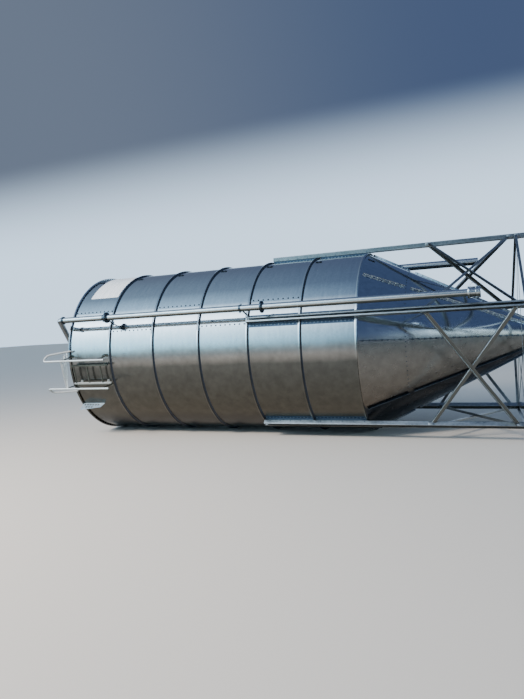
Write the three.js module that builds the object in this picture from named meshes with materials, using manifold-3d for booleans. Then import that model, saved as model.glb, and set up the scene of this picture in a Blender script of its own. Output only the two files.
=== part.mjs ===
// Hopper-bottomed grain silo of galvanised sheet steel, lying on its side as it is delivered.
// Millimetres. +X runs along the silo's axis from the roof to the feet, +Z is up, and the side
// with the ladder and the fill pipe faces -Y. Lengths along the axis are counted from the eave.
import * as THREE from "three";
import { mergeVertices } from "three/addons/utils/BufferGeometryUtils.js";
import Module from "manifold-3d";

// Shell: rings of sheet with both edges folded outward into bolting flanges
const SHELL_R = 1550; // outer radius of the sheet
const SHEET = 6; // sheet thickness
const RINGS = 6;
const RING_PITCH = 913.6; // from one ring joint to the next
const FLANGE_R = 1584; // outer radius of the folded flanges
const SHEETS_PER_RING = 3;
const LAP_ANGLE = [33, 15]; // first lap joint of the odd and of the even rings
const FACET = 6; // degrees of arc to each flat of the round pieces
const GAP = 0.4; // clearance between pieces that touch

// Roof and hopper
const ROOF_SLOPE = 30;
const ROOF_TOP_R = 300;
const ROOF_SHEETS = 3;
const HOPPER_HEIGHT = 2981; // from the shell to the cone's point
const HOPPER_JOINT_X = 6190; // round joint between the two courses of the hopper
const HOPPER_SHEETS = 4; // sheets to each course
const HOPPER_LAP = 3; // angle of the first seam of both courses
const SEAM = { high: 38, inset: 3.5, shy: 2, end: 40 }; // flanges that stand out along the hopper's seams
const OUTLET = { radius: 203, height: 60, flange: 42, thick: 10 };
const CAP = { radius: 330, thick: 24, collar: 72, height: 60 };
const SMALL_SIDES = 30; // sides of the cap and of the outlet

// Legs
const LEGS = 5;
const FIRST_LEG = 18; // angle of the leg beside the fill pipe
const LEG_WIDE = 85;
const LEG_IN_R = 1588;
const LEG_OUT_R = 1663;
const LEG_STEEL = 5;
const LEG_LIP = 24;
const LEG_FOOT_X = 9000;
const LEG_HEAD = 2; // from the ring joint's flange to the head of the leg
const STRIP = { foot: 62, clear: 20, height: 40 }; // angle strips that bolt each leg to the shell
const FOOT_PLATE = { along: 12, wide: 240, deep: 220 };

// Bracing
const BRACE_X = [6490, 7775]; // where the crossed braces meet the legs
const TIE_X = 7880; // level of the horizontal ties
const BRACE_WIDE = 50;
const BRACE_THICK = 7;
const BRACE_LAYER = 3.2; // from the middle of the crossing to each flat's middle
const BRACE_ARM = { reach: 42, thick: 5 }; // standing arm along one edge of each brace
const BRACE_R = 1652; // radius at which the braces would reach the middle of a leg
const BRACE_TAB = { half: 48, inset: 8 };
const TIE_TAB = { half: 40, inset: 10 };

// Pipes
const PIPE_END_X = 7284;
const FILL = { angle: 22.5, r: 1830, radius: 54, wall: 6 };
const VENT = { angle: 131.3, r: 1830, radius: 70, wall: 6, roofEndR: 700 };
const PIPE_JOINTS = [1000, 4000];
const PIPE_FLANGE = { radius: 92, thick: 18, sides: 20 };
const BRACKETS_X = [942, 3626];
const BRACKET = { half: 18, band: 7, strut: 5, footHalf: 20, footWide: 40, foot: 6 };
const ROOF_CLEAR = 180; // pipe's centre line to the roof sheet
const BEND_R = 160;
const BEND_STEP = 15; // degrees of bend to each step of a pipe
const PIPE_SIDES = 14;
const COUPLING = {
  length: 172,
  barrel: { radius: 64, wall: 16 },
  collar: { radius: 86, to: 0.2 },
  ring: { radius: 82, from: 0.62 },
  lever: { in: 65, out: 78, half: 12, from: 38, to: 152 },
};

// Ladder, guard rails, plate and sign on the top ring
const THIN_SIDES = 8; // sides of the thin round bars
const LADDER = {
  angles: [-5.4, -17.5],
  r: 1640,
  from: 90,
  to: 905,
  rungs: [132, 432, 732],
  feet: [192, 792],
  stringer: { wide: 14, deep: 20 },
  rung: 15,
  strut: { half: 20, thick: 4 },
  foot: 6,
};
const GUARD = {
  angles: [-1.4, -17.4],
  footAngles: [0.6, -20],
  eaveAngles: [4.3, -23.7],
  r: 1900,
  from: -335,
  to: 1025,
  tube: 20,
  bar: 12,
  posts: [60, 840],
  knee: { along: 110, down: 130 },
  eave: { half: 14, stand: 24 },
  foot: { half: 24, thick: 12 },
};
const STEP_PLATE = { angle: -36, from: 8, to: 500, out: [1740, 1662], bevel: [20, 40], thick: 7 };
const SIGN = { from: 232, to: 852, angles: [45, 99], thick: 3 };

const wasm = await Module();
wasm.setup();
const rad = THREE.MathUtils.degToRad;
const deg = THREE.MathUtils.radToDeg;
const galvanised = { color: 0xb9c0c6, roughness: 0.3, metalness: 1 };
const steel = () => new THREE.MeshStandardMaterial(galvanised);
const white = () => new THREE.MeshStandardMaterial({ color: 0xe9ecea, roughness: 0.4, metalness: 0 });
const silo = new THREE.Group();

const ringX = (i) => i * RING_PITCH;
const SHELL_END = ringX(RINGS);
const legAngle = (k) => FIRST_LEG + (360 / LEGS) * k;
const coneR = (x) => (SHELL_R * (SHELL_END + HOPPER_HEIGHT - x)) / HOPPER_HEIGHT;
const coneX = (r) => SHELL_END + HOPPER_HEIGHT * (1 - r / SHELL_R);
const roofX = (r) => -GAP - SHEET - (SHELL_R + SHEET - r) * Math.tan(rad(ROOF_SLOPE));

// Point at a distance along the axis, a radius and an angle counted up from the -Y side
function at(x, r, angle) {
  return new THREE.Vector3(x, -r * Math.cos(rad(angle)), r * Math.sin(rad(angle)));
}

// Radius of the flats of the shell at an angle
function flatAt(angle) {
  const off = angle - FACET * Math.round(angle / FACET);
  return (SHELL_R * Math.cos(rad(FACET / 2))) / Math.cos(rad(off));
}

// Lowest that a level foot of a given half width can stand on the flats of the shell
function seatR(angle, half) {
  const reach = deg(Math.asin(half / SHELL_R));
  const touches = [angle - reach, angle + reach];
  const edge = FACET * (Math.floor(angle / FACET) + 0.5);
  if (Math.abs(edge - angle) < reach) touches.push(edge);
  return Math.max(...touches.map((a) => flatAt(a) * Math.cos(rad(a - angle)))) + GAP;
}

function toSolid(geometry) {
  const bare = geometry.clone();
  bare.deleteAttribute("normal");
  bare.deleteAttribute("uv");
  const merged = mergeVertices(bare, 1e-3);
  return new wasm.Manifold(
    new wasm.Mesh({
      numProp: 3,
      vertProperties: merged.attributes.position.array,
      triVerts: new Uint32Array(merged.index.array),
    }),
  );
}

function toGeometry(solid) {
  const mesh = solid.getMesh();
  const geometry = new THREE.BufferGeometry();
  geometry.setAttribute("position", new THREE.BufferAttribute(mesh.vertProperties, 3));
  geometry.setIndex(new THREE.BufferAttribute(mesh.triVerts, 1));
  geometry.computeVertexNormals();
  return geometry;
}

const join = (geometries) => geometries.map(toSolid).reduce((a, b) => a.add(b));
const outline = (points) => new THREE.Shape(points.map(([u, v]) => new THREE.Vector2(u, v)));

function addPiece(name, geometry, material = steel()) {
  const mesh = new THREE.Mesh(geometry, material);
  mesh.name = name;
  silo.add(mesh);
  return mesh;
}

// Turns a piece drawn with its radial direction along Z to its angle round the axis
function turnTo(geometry, angle) {
  return geometry.rotateX(rad(90 - angle));
}

// Sweeps a profile of [x, radius] points round the axis between two angles
function arcPiece(points, from, to) {
  const steps = Math.round((to - from) / FACET);
  const geometry = new THREE.ExtrudeGeometry(outline(points), {
    depth: to - from,
    steps,
    bevelEnabled: false,
  });
  const p = geometry.attributes.position;
  for (let i = 0; i < p.count; i++) {
    const v = at(p.getX(i), p.getY(i), to - p.getZ(i));
    p.setXYZ(i, v.x, v.y, v.z);
  }
  return geometry;
}

// Turns a closed profile of [x, radius] points right round the X axis
function roundPiece(points, sides = 360 / FACET) {
  const profile = points.map(([x, r]) => new THREE.Vector2(r, x));
  return new THREE.LatheGeometry(profile, sides, rad(180 / sides)).rotateZ(-Math.PI / 2);
}

// Plate that stands out along the axis: an outline of [x, radius] points between two sideways places
function standingPlate(points, [from, to], angle) {
  const standing = new THREE.Matrix4().makeBasis(
    new THREE.Vector3(1, 0, 0),
    new THREE.Vector3(0, 0, 1),
    new THREE.Vector3(0, -1, 0),
  );
  const plate = new THREE.ExtrudeGeometry(outline(points), { depth: to - from, bevelEnabled: false });
  return turnTo(plate.translate(0, 0, -to).applyMatrix4(standing), angle);
}

// Extrudes a section of [sideways, radial] points along the X axis
function beamPiece(points, from, to) {
  const axes = new THREE.Matrix4().makeBasis(
    new THREE.Vector3(0, 1, 0),
    new THREE.Vector3(0, 0, 1),
    new THREE.Vector3(1, 0, 0),
  );
  const geometry = new THREE.ExtrudeGeometry(outline(points), { depth: to - from, bevelEnabled: false });
  return geometry.applyMatrix4(axes).translate(from, 0, 0);
}

function block(x, y, z) {
  const size = [x, y, z].map(([low, high]) => high - low);
  const middle = [x, y, z].map(([low, high]) => (low + high) / 2);
  return new THREE.BoxGeometry(...size).translate(...middle);
}

// Flat bar between two points, its wide face square to the outward direction
function flatBar(a, b, wide, thick, outward) {
  const along = b.clone().sub(a);
  const length = along.length();
  along.normalize();
  const out = outward.clone().addScaledVector(along, -outward.dot(along)).normalize();
  const side = out.clone().cross(along);
  const placed = new THREE.Matrix4().makeBasis(along, side, out).setPosition(a.clone().lerp(b, 0.5));
  return new THREE.BoxGeometry(length, wide, thick).applyMatrix4(placed);
}

// Round bar or, with a wall, a tube, between two points
function roundBar(a, b, radius, wall = 0, sides = PIPE_SIDES) {
  const along = b.clone().sub(a);
  const length = along.length();
  const turn = new THREE.Quaternion().setFromUnitVectors(new THREE.Vector3(0, 1, 0), along.normalize());
  const middle = a.clone().lerp(b, 0.5);
  if (!wall) {
    return new THREE.CylinderGeometry(radius, radius, length, sides).applyQuaternion(turn)
      .translate(middle.x, middle.y, middle.z);
  }
  const inner = radius - wall;
  const h = length / 2;
  const ring = [[inner, -h], [radius, -h], [radius, h], [inner, h], [inner, -h]];
  return new THREE.LatheGeometry(ring.map(([r, y]) => new THREE.Vector2(r, y)), sides)
    .applyQuaternion(turn).translate(middle.x, middle.y, middle.z);
}

// Route with straight runs between the points and round bends at the inner ones
class PipeRoute extends THREE.Curve {
  constructor(points, bendR) {
    super();
    this.stations = [];
    const add = (point, tangent) => this.stations.push({ point, tangent });
    points.forEach((corner, i) => {
      const into = i > 0 ? corner.clone().sub(points[i - 1]).normalize() : null;
      const out = i < points.length - 1 ? points[i + 1].clone().sub(corner).normalize() : null;
      if (!into || !out) {
        add(corner, into || out);
        return;
      }
      const turn = into.angleTo(out);
      const inward = out.clone().sub(into).normalize();
      const centre = corner.clone().addScaledVector(inward, bendR / Math.cos(turn / 2));
      const start = corner.clone().addScaledVector(into, -bendR * Math.tan(turn / 2)).sub(centre);
      const axis = into.clone().cross(out).normalize();
      const steps = Math.ceil(turn / rad(BEND_STEP));
      for (let j = 0; j <= steps; j++) {
        const angle = (turn * j) / steps;
        add(start.clone().applyAxisAngle(axis, angle).add(centre), into.clone().applyAxisAngle(axis, angle));
      }
    });
  }
  station(u) {
    return this.stations[Math.round(u * (this.stations.length - 1))];
  }
  getPointAt(u) {
    return this.station(u).point.clone();
  }
  getTangentAt(u) {
    return this.station(u).tangent.clone();
  }
}

function pipeRun(points, radius, wall, bendR) {
  const route = new PipeRoute(points, bendR);
  const ring = new THREE.Shape().absarc(0, 0, radius, 0, 2 * Math.PI);
  ring.holes.push(new THREE.Path().absarc(0, 0, radius - wall, 0, 2 * Math.PI, true));
  return toSolid(new THREE.ExtrudeGeometry(ring, {
    steps: route.stations.length - 1,
    curveSegments: PIPE_SIDES / 2,
    bevelEnabled: false,
    extrudePath: route,
  }));
}

// Shell sheets
for (let i = 0; i < RINGS; i++) {
  const from = ringX(i) + GAP / 2;
  const to = ringX(i + 1) - GAP / 2;
  const profile = [
    [from, SHELL_R - SHEET], [to, SHELL_R - SHEET], [to, FLANGE_R], [to - SHEET, FLANGE_R],
    [to - SHEET, SHELL_R], [from + SHEET, SHELL_R], [from + SHEET, FLANGE_R], [from, FLANGE_R],
  ];
  for (let k = 0; k < SHEETS_PER_RING; k++) {
    const start = LAP_ANGLE[i % 2] + (360 / SHEETS_PER_RING) * k;
    const slack = deg(GAP / 2 / (SHELL_R - SHEET));
    const sheet = arcPiece(profile, start + slack, start + 360 / SHEETS_PER_RING - slack);
    addPiece(`ring_${i + 1}_sheet_${k + 1}`, sheet);
  }
}

// Roof sheets and cap
{
  const under = SHEET / Math.cos(rad(ROOF_SLOPE));
  const profile = [
    [-GAP, FLANGE_R], [-GAP - SHEET, FLANGE_R], [roofX(SHELL_R + SHEET), SHELL_R + SHEET],
    [roofX(ROOF_TOP_R), ROOF_TOP_R], [roofX(ROOF_TOP_R) + under, ROOF_TOP_R],
    [-GAP, SHELL_R + SHEET - (SHEET - under + SHEET) / Math.tan(rad(ROOF_SLOPE))],
  ];
  for (let k = 0; k < ROOF_SHEETS; k++) {
    const start = LAP_ANGLE[1] + (360 / ROOF_SHEETS) * k;
    const slack = deg(GAP / 2 / ROOF_TOP_R);
    addPiece(`roof_sheet_${k + 1}`, arcPiece(profile, start + slack, start + 360 / ROOF_SHEETS - slack));
  }
}
const CAP_X = roofX(ROOF_TOP_R) - GAP;
addPiece("roof_cap", roundPiece([
  [CAP_X, 0], [CAP_X, CAP.radius], [CAP_X - CAP.thick, CAP.radius - CAP.thick],
  [CAP_X - CAP.thick, CAP.collar], [CAP_X - CAP.height, CAP.collar], [CAP_X - CAP.height, 0],
].reverse(), SMALL_SIDES));

// Hopper courses and outlet
{
  const thick = SHEET / Math.cos(Math.atan(SHELL_R / HOPPER_HEIGHT));
  const top = SHELL_END + GAP / 2;
  const upper = [
    [top, FLANGE_R], [top, coneR(top) - thick], [HOPPER_JOINT_X, coneR(HOPPER_JOINT_X) - thick],
    [HOPPER_JOINT_X, coneR(HOPPER_JOINT_X)], [top + SHEET, coneR(top + SHEET)], [top + SHEET, FLANGE_R],
  ];
  const below = HOPPER_JOINT_X + GAP;
  const outletX = coneX(OUTLET.radius);
  const bore = OUTLET.radius - thick;
  const lower = [
    [below, coneR(below)], [below, coneR(below) - thick], [outletX, bore], [outletX, OUTLET.radius],
  ];
  const rise = SEAM.high / Math.cos(Math.atan(SHELL_R / HOPPER_HEIGHT));
  const seamLine = (from, to) => {
    const head = Math.min(coneR(from) + rise, FLANGE_R - SEAM.shy);
    const bend = Math.max(from, coneX(head - rise));
    return [
      [from, coneR(from) - SEAM.inset], [to, coneR(to) - SEAM.inset], [to, coneR(to) + rise],
      [bend, head], [from, head],
    ];
  };
  const course = (name, profile, narrow, seam) => {
    const slack = deg(GAP / 2 / narrow);
    const span = 360 / HOPPER_SHEETS;
    for (let k = 0; k < HOPPER_SHEETS; k++) {
      const start = HOPPER_LAP + span * k;
      const sheet = join([
        arcPiece(profile, start + slack, start + span - slack),
        standingPlate(seam, [GAP, SHEET], start),
        standingPlate(seam, [-SHEET, SHEET], start + span / 2),
        standingPlate(seam, [-SHEET, -GAP], start + span),
      ]);
      addPiece(`${name}_${k + 1}`, toGeometry(sheet));
    }
  };
  const upperSeam = seamLine(top + SEAM.shy, HOPPER_JOINT_X - SEAM.shy);
  const lowerSeam = seamLine(below + SEAM.shy, outletX - SEAM.end);
  course("hopper_upper_sheet", upper, coneR(HOPPER_JOINT_X), upperSeam);
  course("hopper_lower_sheet", lower, bore, lowerSeam);
  const from = outletX + GAP;
  const rim = from + OUTLET.height;
  const back = rim - OUTLET.thick;
  const edge = OUTLET.radius + OUTLET.flange;
  addPiece("outlet_collar", roundPiece([
    [from, bore], [from, OUTLET.radius], [back, OUTLET.radius], [back, edge], [rim, edge], [rim, bore],
    [from, bore],
  ], SMALL_SIDES));
}

// Legs: lipped channels that open outward, with strips bolted to the two lowest rings
const half = LEG_WIDE / 2;
const legSection = [
  [-half, LEG_IN_R], [half, LEG_IN_R], [half, LEG_OUT_R], [half - LEG_LIP, LEG_OUT_R],
  [half - LEG_LIP, LEG_OUT_R - LEG_STEEL], [half - LEG_STEEL, LEG_OUT_R - LEG_STEEL],
  [half - LEG_STEEL, LEG_IN_R + LEG_STEEL], [LEG_STEEL - half, LEG_IN_R + LEG_STEEL],
  [LEG_STEEL - half, LEG_OUT_R - LEG_STEEL], [LEG_LIP - half, LEG_OUT_R - LEG_STEEL],
  [LEG_LIP - half, LEG_OUT_R], [-half, LEG_OUT_R],
];
const LEG_TOP_X = ringX(RINGS - 2) + SHEET + LEG_HEAD;
for (let k = 0; k < LEGS; k++) {
  const pieces = [beamPiece(legSection, LEG_TOP_X, LEG_FOOT_X)];
  const seat = seatR(legAngle(k), 0);
  for (const side of [-1, 1]) {
    for (const ring of [RINGS - 2, RINGS - 1]) {
      const x = [ringX(ring) + STRIP.clear, ringX(ring + 1) - STRIP.clear];
      const reach = [half - 1, half + STRIP.foot].map((v) => v * side).sort((a, b) => a - b);
      const riser = [half - 1, half + LEG_STEEL].map((v) => v * side).sort((a, b) => a - b);
      pieces.push(block(x, reach, [seat, seat + LEG_STEEL]));
      pieces.push(block(x, riser, [seat, LEG_IN_R + STRIP.height]));
    }
  }
  const middleR = (LEG_IN_R + LEG_OUT_R) / 2;
  const plate = FOOT_PLATE;
  pieces.push(block([LEG_FOOT_X - 1, LEG_FOOT_X + plate.along], [-plate.wide / 2, plate.wide / 2],
    [middleR - plate.deep / 2, middleR + plate.deep / 2]));
  addPiece(`leg_${k + 1}`, turnTo(toGeometry(join(pieces)), legAngle(k)));
}

// Room that each leg needs, taken out of the braces and ties
function legRoom(k, fromR = LEG_IN_R - GAP) {
  const across = [-half - GAP, half + GAP];
  const room = block([LEG_TOP_X, LEG_FOOT_X], across, [fromR, LEG_OUT_R + BRACE_WIDE]);
  return toSolid(turnTo(room, legAngle(k)));
}

// Tab that lies against one side of a leg
function legTab(k, side, x) {
  const across = [half + GAP, half + GAP + BRACE_THICK].map((v) => v * side).sort((a, b) => a - b);
  const along = [x - BRACE_TAB.half, x + BRACE_TAB.half];
  const deep = [LEG_IN_R + BRACE_TAB.inset, LEG_OUT_R - BRACE_TAB.inset];
  return turnTo(block(along, across, deep), legAngle(k));
}

// Crossed braces between neighbouring legs: two angle sections, the outer one with its arm turned
// out and the inner one with its arm turned in
for (let k = 0; k < LEGS; k++) {
  const next = (k + 1) % LEGS;
  const outward = at(0, 1, legAngle(k) + 180 / LEGS);
  const [high, low] = BRACE_X;
  const angleBar = (fromX, toX, layer) => {
    const ends = [at(fromX, BRACE_R, legAngle(k)), at(toX, BRACE_R, legAngle(next))];
    const along = ends[1].clone().sub(ends[0]).normalize();
    const sideways = outward.clone().cross(along);
    const moved = (lift, aside) => ends.map((end) => end.clone()
      .addScaledVector(outward, lift * layer).addScaledVector(sideways, aside));
    return [
      flatBar(...moved(BRACE_LAYER, 0), BRACE_WIDE, BRACE_THICK, outward),
      flatBar(...moved(BRACE_LAYER + BRACE_ARM.reach / 2, (BRACE_WIDE - BRACE_ARM.thick) / 2),
        BRACE_ARM.thick, BRACE_ARM.reach, outward),
    ];
  };
  const tabs = [legTab(k, 1, high), legTab(k, 1, low), legTab(next, -1, high), legTab(next, -1, low)];
  let crossed = join([...angleBar(low, high, 1), ...angleBar(high, low, -1), ...tabs]);
  const backR = LEG_IN_R - BRACE_WIDE;
  crossed = crossed.subtract(legRoom(k, backR)).subtract(legRoom(next, backR));
  addPiece(`crossed_braces_${k + 1}`, toGeometry(crossed));
}

// Tie frame: a five-sided ring and a star of flat bars at one level
{
  const pieces = [];
  const flat = new THREE.Vector3(1, 0, 0);
  const backR = LEG_IN_R - GAP - BRACE_THICK / 2;
  for (let k = 0; k < LEGS; k++) {
    const ring = [at(TIE_X, BRACE_R, legAngle(k)), at(TIE_X, BRACE_R, legAngle(k + 1))];
    pieces.push(flatBar(...ring, BRACE_WIDE, BRACE_THICK, flat));
    const star = [at(TIE_X, backR, legAngle(k)), at(TIE_X, backR, legAngle(k + 2))];
    pieces.push(flatBar(...star, BRACE_WIDE, BRACE_THICK, flat));
    const across = half + GAP + BRACE_THICK;
    pieces.push(turnTo(block([TIE_X - TIE_TAB.half, TIE_X + TIE_TAB.half], [-across, across],
      [LEG_IN_R - GAP - BRACE_THICK, LEG_OUT_R - TIE_TAB.inset]), legAngle(k)));
  }
  let frame = join(pieces);
  for (let k = 0; k < LEGS; k++) frame = frame.subtract(legRoom(k));
  addPiece("tie_frame", toGeometry(frame));
}

// Pipe flanges are rings round the pipe's end
function pipeFlange(pipe, x, side) {
  const edge = [x + side * (GAP / 2), x + side * (GAP / 2 + PIPE_FLANGE.thick)].sort((a, b) => a - b);
  return roundBar(at(edge[0], pipe.r, pipe.angle), at(edge[1], pipe.r, pipe.angle), PIPE_FLANGE.radius,
    PIPE_FLANGE.radius - pipe.radius + 1, PIPE_FLANGE.sides);
}

// Distance along the axis of a pipe's centre line above the roof, at a radius
function roofLine(r) {
  return roofX(r) - ROOF_CLEAR / Math.cos(rad(ROOF_SLOPE));
}

// Fill pipe: along the shell, over the eave and up the roof to the cap
const CAP_TOP = CAP_X - CAP.height - GAP;
const [joint1, joint2] = PIPE_JOINTS;
const fillTop = pipeRun([
  at(joint1 - GAP / 2, FILL.r, FILL.angle),
  at(roofLine(FILL.r), FILL.r, FILL.angle),
  at(roofLine(0), 0, FILL.angle),
  at(CAP_TOP, 0, FILL.angle),
], FILL.radius, FILL.wall, BEND_R).add(toSolid(pipeFlange(FILL, joint1, -1)));
addPiece("fill_pipe_top", toGeometry(fillTop));

function straightPipe(pipe, from, to, flanged) {
  const tube = roundBar(at(from, pipe.r, pipe.angle), at(to, pipe.r, pipe.angle), pipe.radius, pipe.wall);
  return join([tube, ...flanged]);
}
addPiece("fill_pipe_middle", toGeometry(straightPipe(FILL, joint1 + GAP / 2, joint2 - GAP / 2,
  [pipeFlange(FILL, joint1, 1), pipeFlange(FILL, joint2, -1)])));
const couplingX = PIPE_END_X - COUPLING.length;
addPiece("fill_pipe_lower", toGeometry(straightPipe(FILL, joint2 + GAP / 2, couplingX - GAP,
  [pipeFlange(FILL, joint2, 1)])));

// Hose coupling at the end of the fill pipe: a barrel, and round it a collar and a locking ring with levers
{
  const { barrel, collar, ring, lever } = COUPLING;
  const start = at(couplingX, FILL.r, FILL.angle);
  const end = at(PIPE_END_X, FILL.r, FILL.angle);
  const along = (part) => start.clone().lerp(end, part);
  const around = (a, b, radius) => roundBar(a, b, radius, radius - barrel.radius - GAP, PIPE_FLANGE.sides);
  const leverPiece = (side) => {
    const across = [lever.in, lever.out].map((v) => v * side).sort((a, b) => a - b);
    const x = [couplingX + lever.from, couplingX + lever.to];
    return turnTo(block(x, across, [FILL.r - lever.half, FILL.r + lever.half]), FILL.angle);
  };
  addPiece("fill_coupling", toGeometry(toSolid(
    roundBar(start, end, barrel.radius, barrel.wall, PIPE_FLANGE.sides))));
  addPiece("coupling_collar", toGeometry(toSolid(around(start, along(collar.to), collar.radius))));
  addPiece("coupling_ring", toGeometry(join([
    around(along(ring.from), end, ring.radius),
    leverPiece(1), leverPiece(-1),
  ])));
}

// Vent pipe on the far side, its upper end turned into the roof
{
  const slope = rad(ROOF_SLOPE);
  const turn = [roofLine(VENT.roofEndR), VENT.roofEndR];
  const drop = ROOF_CLEAR - GAP;
  const end = [turn[0] + Math.cos(slope) * drop, turn[1] - Math.sin(slope) * drop];
  const top = pipeRun([
    at(joint1 - GAP / 2, VENT.r, VENT.angle),
    at(roofLine(VENT.r), VENT.r, VENT.angle),
    at(...turn, VENT.angle),
    at(...end, VENT.angle),
  ], VENT.radius, VENT.wall, BEND_R).add(toSolid(pipeFlange(VENT, joint1, -1)));
  addPiece("vent_pipe_top", toGeometry(top));
}
addPiece("vent_pipe_lower", toGeometry(straightPipe(VENT, joint1 + GAP / 2, PIPE_END_X,
  [pipeFlange(VENT, joint1, 1)])));

// Pipe brackets: a band round the pipe, a strut and a foot on the shell
function pipeBracket(name, pipe, x) {
  const { half: along, band, strut, footHalf, footWide, foot } = BRACKET;
  const inner = pipe.radius + GAP;
  const seat = seatR(pipe.angle, footWide);
  const x2 = [x - along, x + along];
  const ring = roundBar(at(x2[0], pipe.r, pipe.angle), at(x2[1], pipe.r, pipe.angle), inner + band, band);
  const upright = block(x2, [-strut, strut], [seat, pipe.r - inner - band / 2]);
  const pad = block([x - footHalf, x + footHalf], [-footWide, footWide], [seat, seat + foot]);
  addPiece(name, toGeometry(join([ring, turnTo(upright, pipe.angle), turnTo(pad, pipe.angle)])));
}
BRACKETS_X.forEach((x, i) => {
  pipeBracket(`fill_pipe_bracket_${i + 1}`, FILL, x);
  pipeBracket(`vent_pipe_bracket_${i + 1}`, VENT, x);
});

// Ladder: stringers, rungs and stand-off feet
{
  const { angles, r, from, to, rungs, feet, stringer, rung, strut, foot } = LADDER;
  const pieces = [];
  for (const angle of angles) {
    const seat = seatR(angle, strut.half);
    const wide = [-stringer.wide, stringer.wide];
    pieces.push(turnTo(block([from, to], wide, [r - stringer.deep, r + stringer.deep]), angle));
    for (const x of feet) {
      const along = [x - strut.half, x + strut.half];
      pieces.push(turnTo(block(along, [-strut.thick, strut.thick], [seat, r]), angle));
      pieces.push(turnTo(block(along, [-strut.half, strut.half], [seat, seat + foot]), angle));
    }
  }
  for (const x of rungs) {
    pieces.push(roundBar(at(x, r, angles[0]), at(x, r, angles[1]), rung, 0, THIN_SIDES));
  }
  addPiece("ladder", toGeometry(join(pieces)));
}

// Guard rails beside the ladder, carried by posts on the shell
{
  const { angles, r, from, to, tube, posts, eaveAngles, footAngles, bar, knee, eave, foot } = GUARD;
  const eaveR = FLANGE_R + eave.stand;
  const bars = [];
  const blocks = [];
  angles.forEach((angle, side) => {
    const bend = at(from + knee.along, r - knee.down, (angle + eaveAngles[side]) / 2);
    const landing = at(posts[0], eaveR, eaveAngles[side]);
    const stand = [seatR(eaveAngles[side], eave.half), eaveR];
    const seat = seatR(footAngles[side], foot.half);
    bars.push([at(from, r, angle), at(to, r, angle), tube]);
    bars.push([at(from + bar, r, angle), bend, bar], [bend, landing, bar]);
    blocks.push([posts[0], eave.half, stand, eaveAngles[side]]);
    for (const x of posts) {
      bars.push([at(x, seat + foot.thick / 2, footAngles[side]), at(x, r, angle), bar]);
      blocks.push([x, foot.half, [seat, seat + foot.thick], footAngles[side]]);
    }
  });
  for (const x of [from + bar, to - bar]) {
    bars.push([at(x, r, angles[0]), at(x, r, angles[1]), bar]);
  }
  addPiece("guard_rails", toGeometry(join([
    ...bars.map(([a, b, radius]) => roundBar(a, b, radius, 0, THIN_SIDES)),
    ...blocks.map(([x, h, up, angle]) => turnTo(block([x - h, x + h], [-h, h], up), angle)),
  ])));
}

// Plate standing out from the top ring
{
  const { angle, from, to, out, bevel, thick } = STEP_PLATE;
  const seat = seatR(angle, thick);
  const side = [[from, seat], [to, seat], [to - bevel[1], out[1]], [from + bevel[0], out[0]]];
  addPiece("step_plate", standingPlate(side, [0, thick], angle));
}

// Bare sign sheet over the top ring
addPiece("sign_sheet", arcPiece([
  [SIGN.from, SHELL_R + GAP], [SIGN.to, SHELL_R + GAP],
  [SIGN.to, SHELL_R + GAP + SIGN.thick], [SIGN.from, SHELL_R + GAP + SIGN.thick],
], ...SIGN.angles), white());

// The origin is on the ground, midway along and across the silo
const box = new THREE.Box3().setFromObject(silo, true);
const part = new THREE.Group();
silo.position.set(-(box.min.x + box.max.x) / 2, -(box.min.y + box.max.y) / 2, -box.min.z);
part.add(silo);

export default part;
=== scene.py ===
import math

import bmesh
import bpy
from mathutils import Matrix, Vector


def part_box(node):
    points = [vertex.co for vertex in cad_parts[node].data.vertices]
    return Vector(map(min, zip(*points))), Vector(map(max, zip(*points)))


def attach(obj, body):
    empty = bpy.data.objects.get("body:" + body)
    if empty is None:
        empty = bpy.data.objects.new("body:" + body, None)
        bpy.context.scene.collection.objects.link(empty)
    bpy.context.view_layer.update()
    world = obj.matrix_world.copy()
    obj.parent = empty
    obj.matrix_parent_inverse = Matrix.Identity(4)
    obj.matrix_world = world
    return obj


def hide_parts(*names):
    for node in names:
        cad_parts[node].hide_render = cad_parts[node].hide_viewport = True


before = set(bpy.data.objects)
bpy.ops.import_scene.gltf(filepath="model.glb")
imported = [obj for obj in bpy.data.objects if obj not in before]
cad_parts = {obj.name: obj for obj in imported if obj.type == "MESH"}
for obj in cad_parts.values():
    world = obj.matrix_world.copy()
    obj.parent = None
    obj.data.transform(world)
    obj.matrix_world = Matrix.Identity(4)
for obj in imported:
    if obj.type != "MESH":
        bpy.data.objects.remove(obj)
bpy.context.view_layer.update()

MM = 0.001

# Shell
SHELL_R = 1550
FLANGE_R = 1581.8
SHEET = 2.5  # drawn sheet thickness
RINGS = 6
RING_PITCH = 913.6
SHEETS_PER_RING = 3
LAP_ANGLE = [31.5, 16]
GAP = 0.4
FOLD = 9  # bend radius of the folded flanges
FLAT = 1.3  # where the flat sheet starts beside a bend, as a share of its radius
LIP = 24  # return lip along a flange's edge
LIP_DROP = 10  # how far it leans back to the sheet
TURN_STEP = 2  # degrees of arc to each facet of the sheets

# Roof and hopper
ROOF_SLOPE = 30
ROOF_TOP_R = 300
ROOF_SHEETS = 3
ROOF_RIBS = 12
RIB = {"from": 1500, "to": 345, "foot": 60, "high": 26, "thick": 5, "out": 12}
HOPPER_HEIGHT = 2981
HOPPER_JOINT_X = 6190
HOPPER_LAP = 3
HOPPER_SHEETS = 4
SEAM = {"high": 38, "end": 42, "pitch": 95}
OUTLET = {"radius": 203, "height": 60, "flange": 42, "thick": 10}
CAP = {"radius": 330, "thick": 24, "collar": 72, "height": 60}

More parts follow.
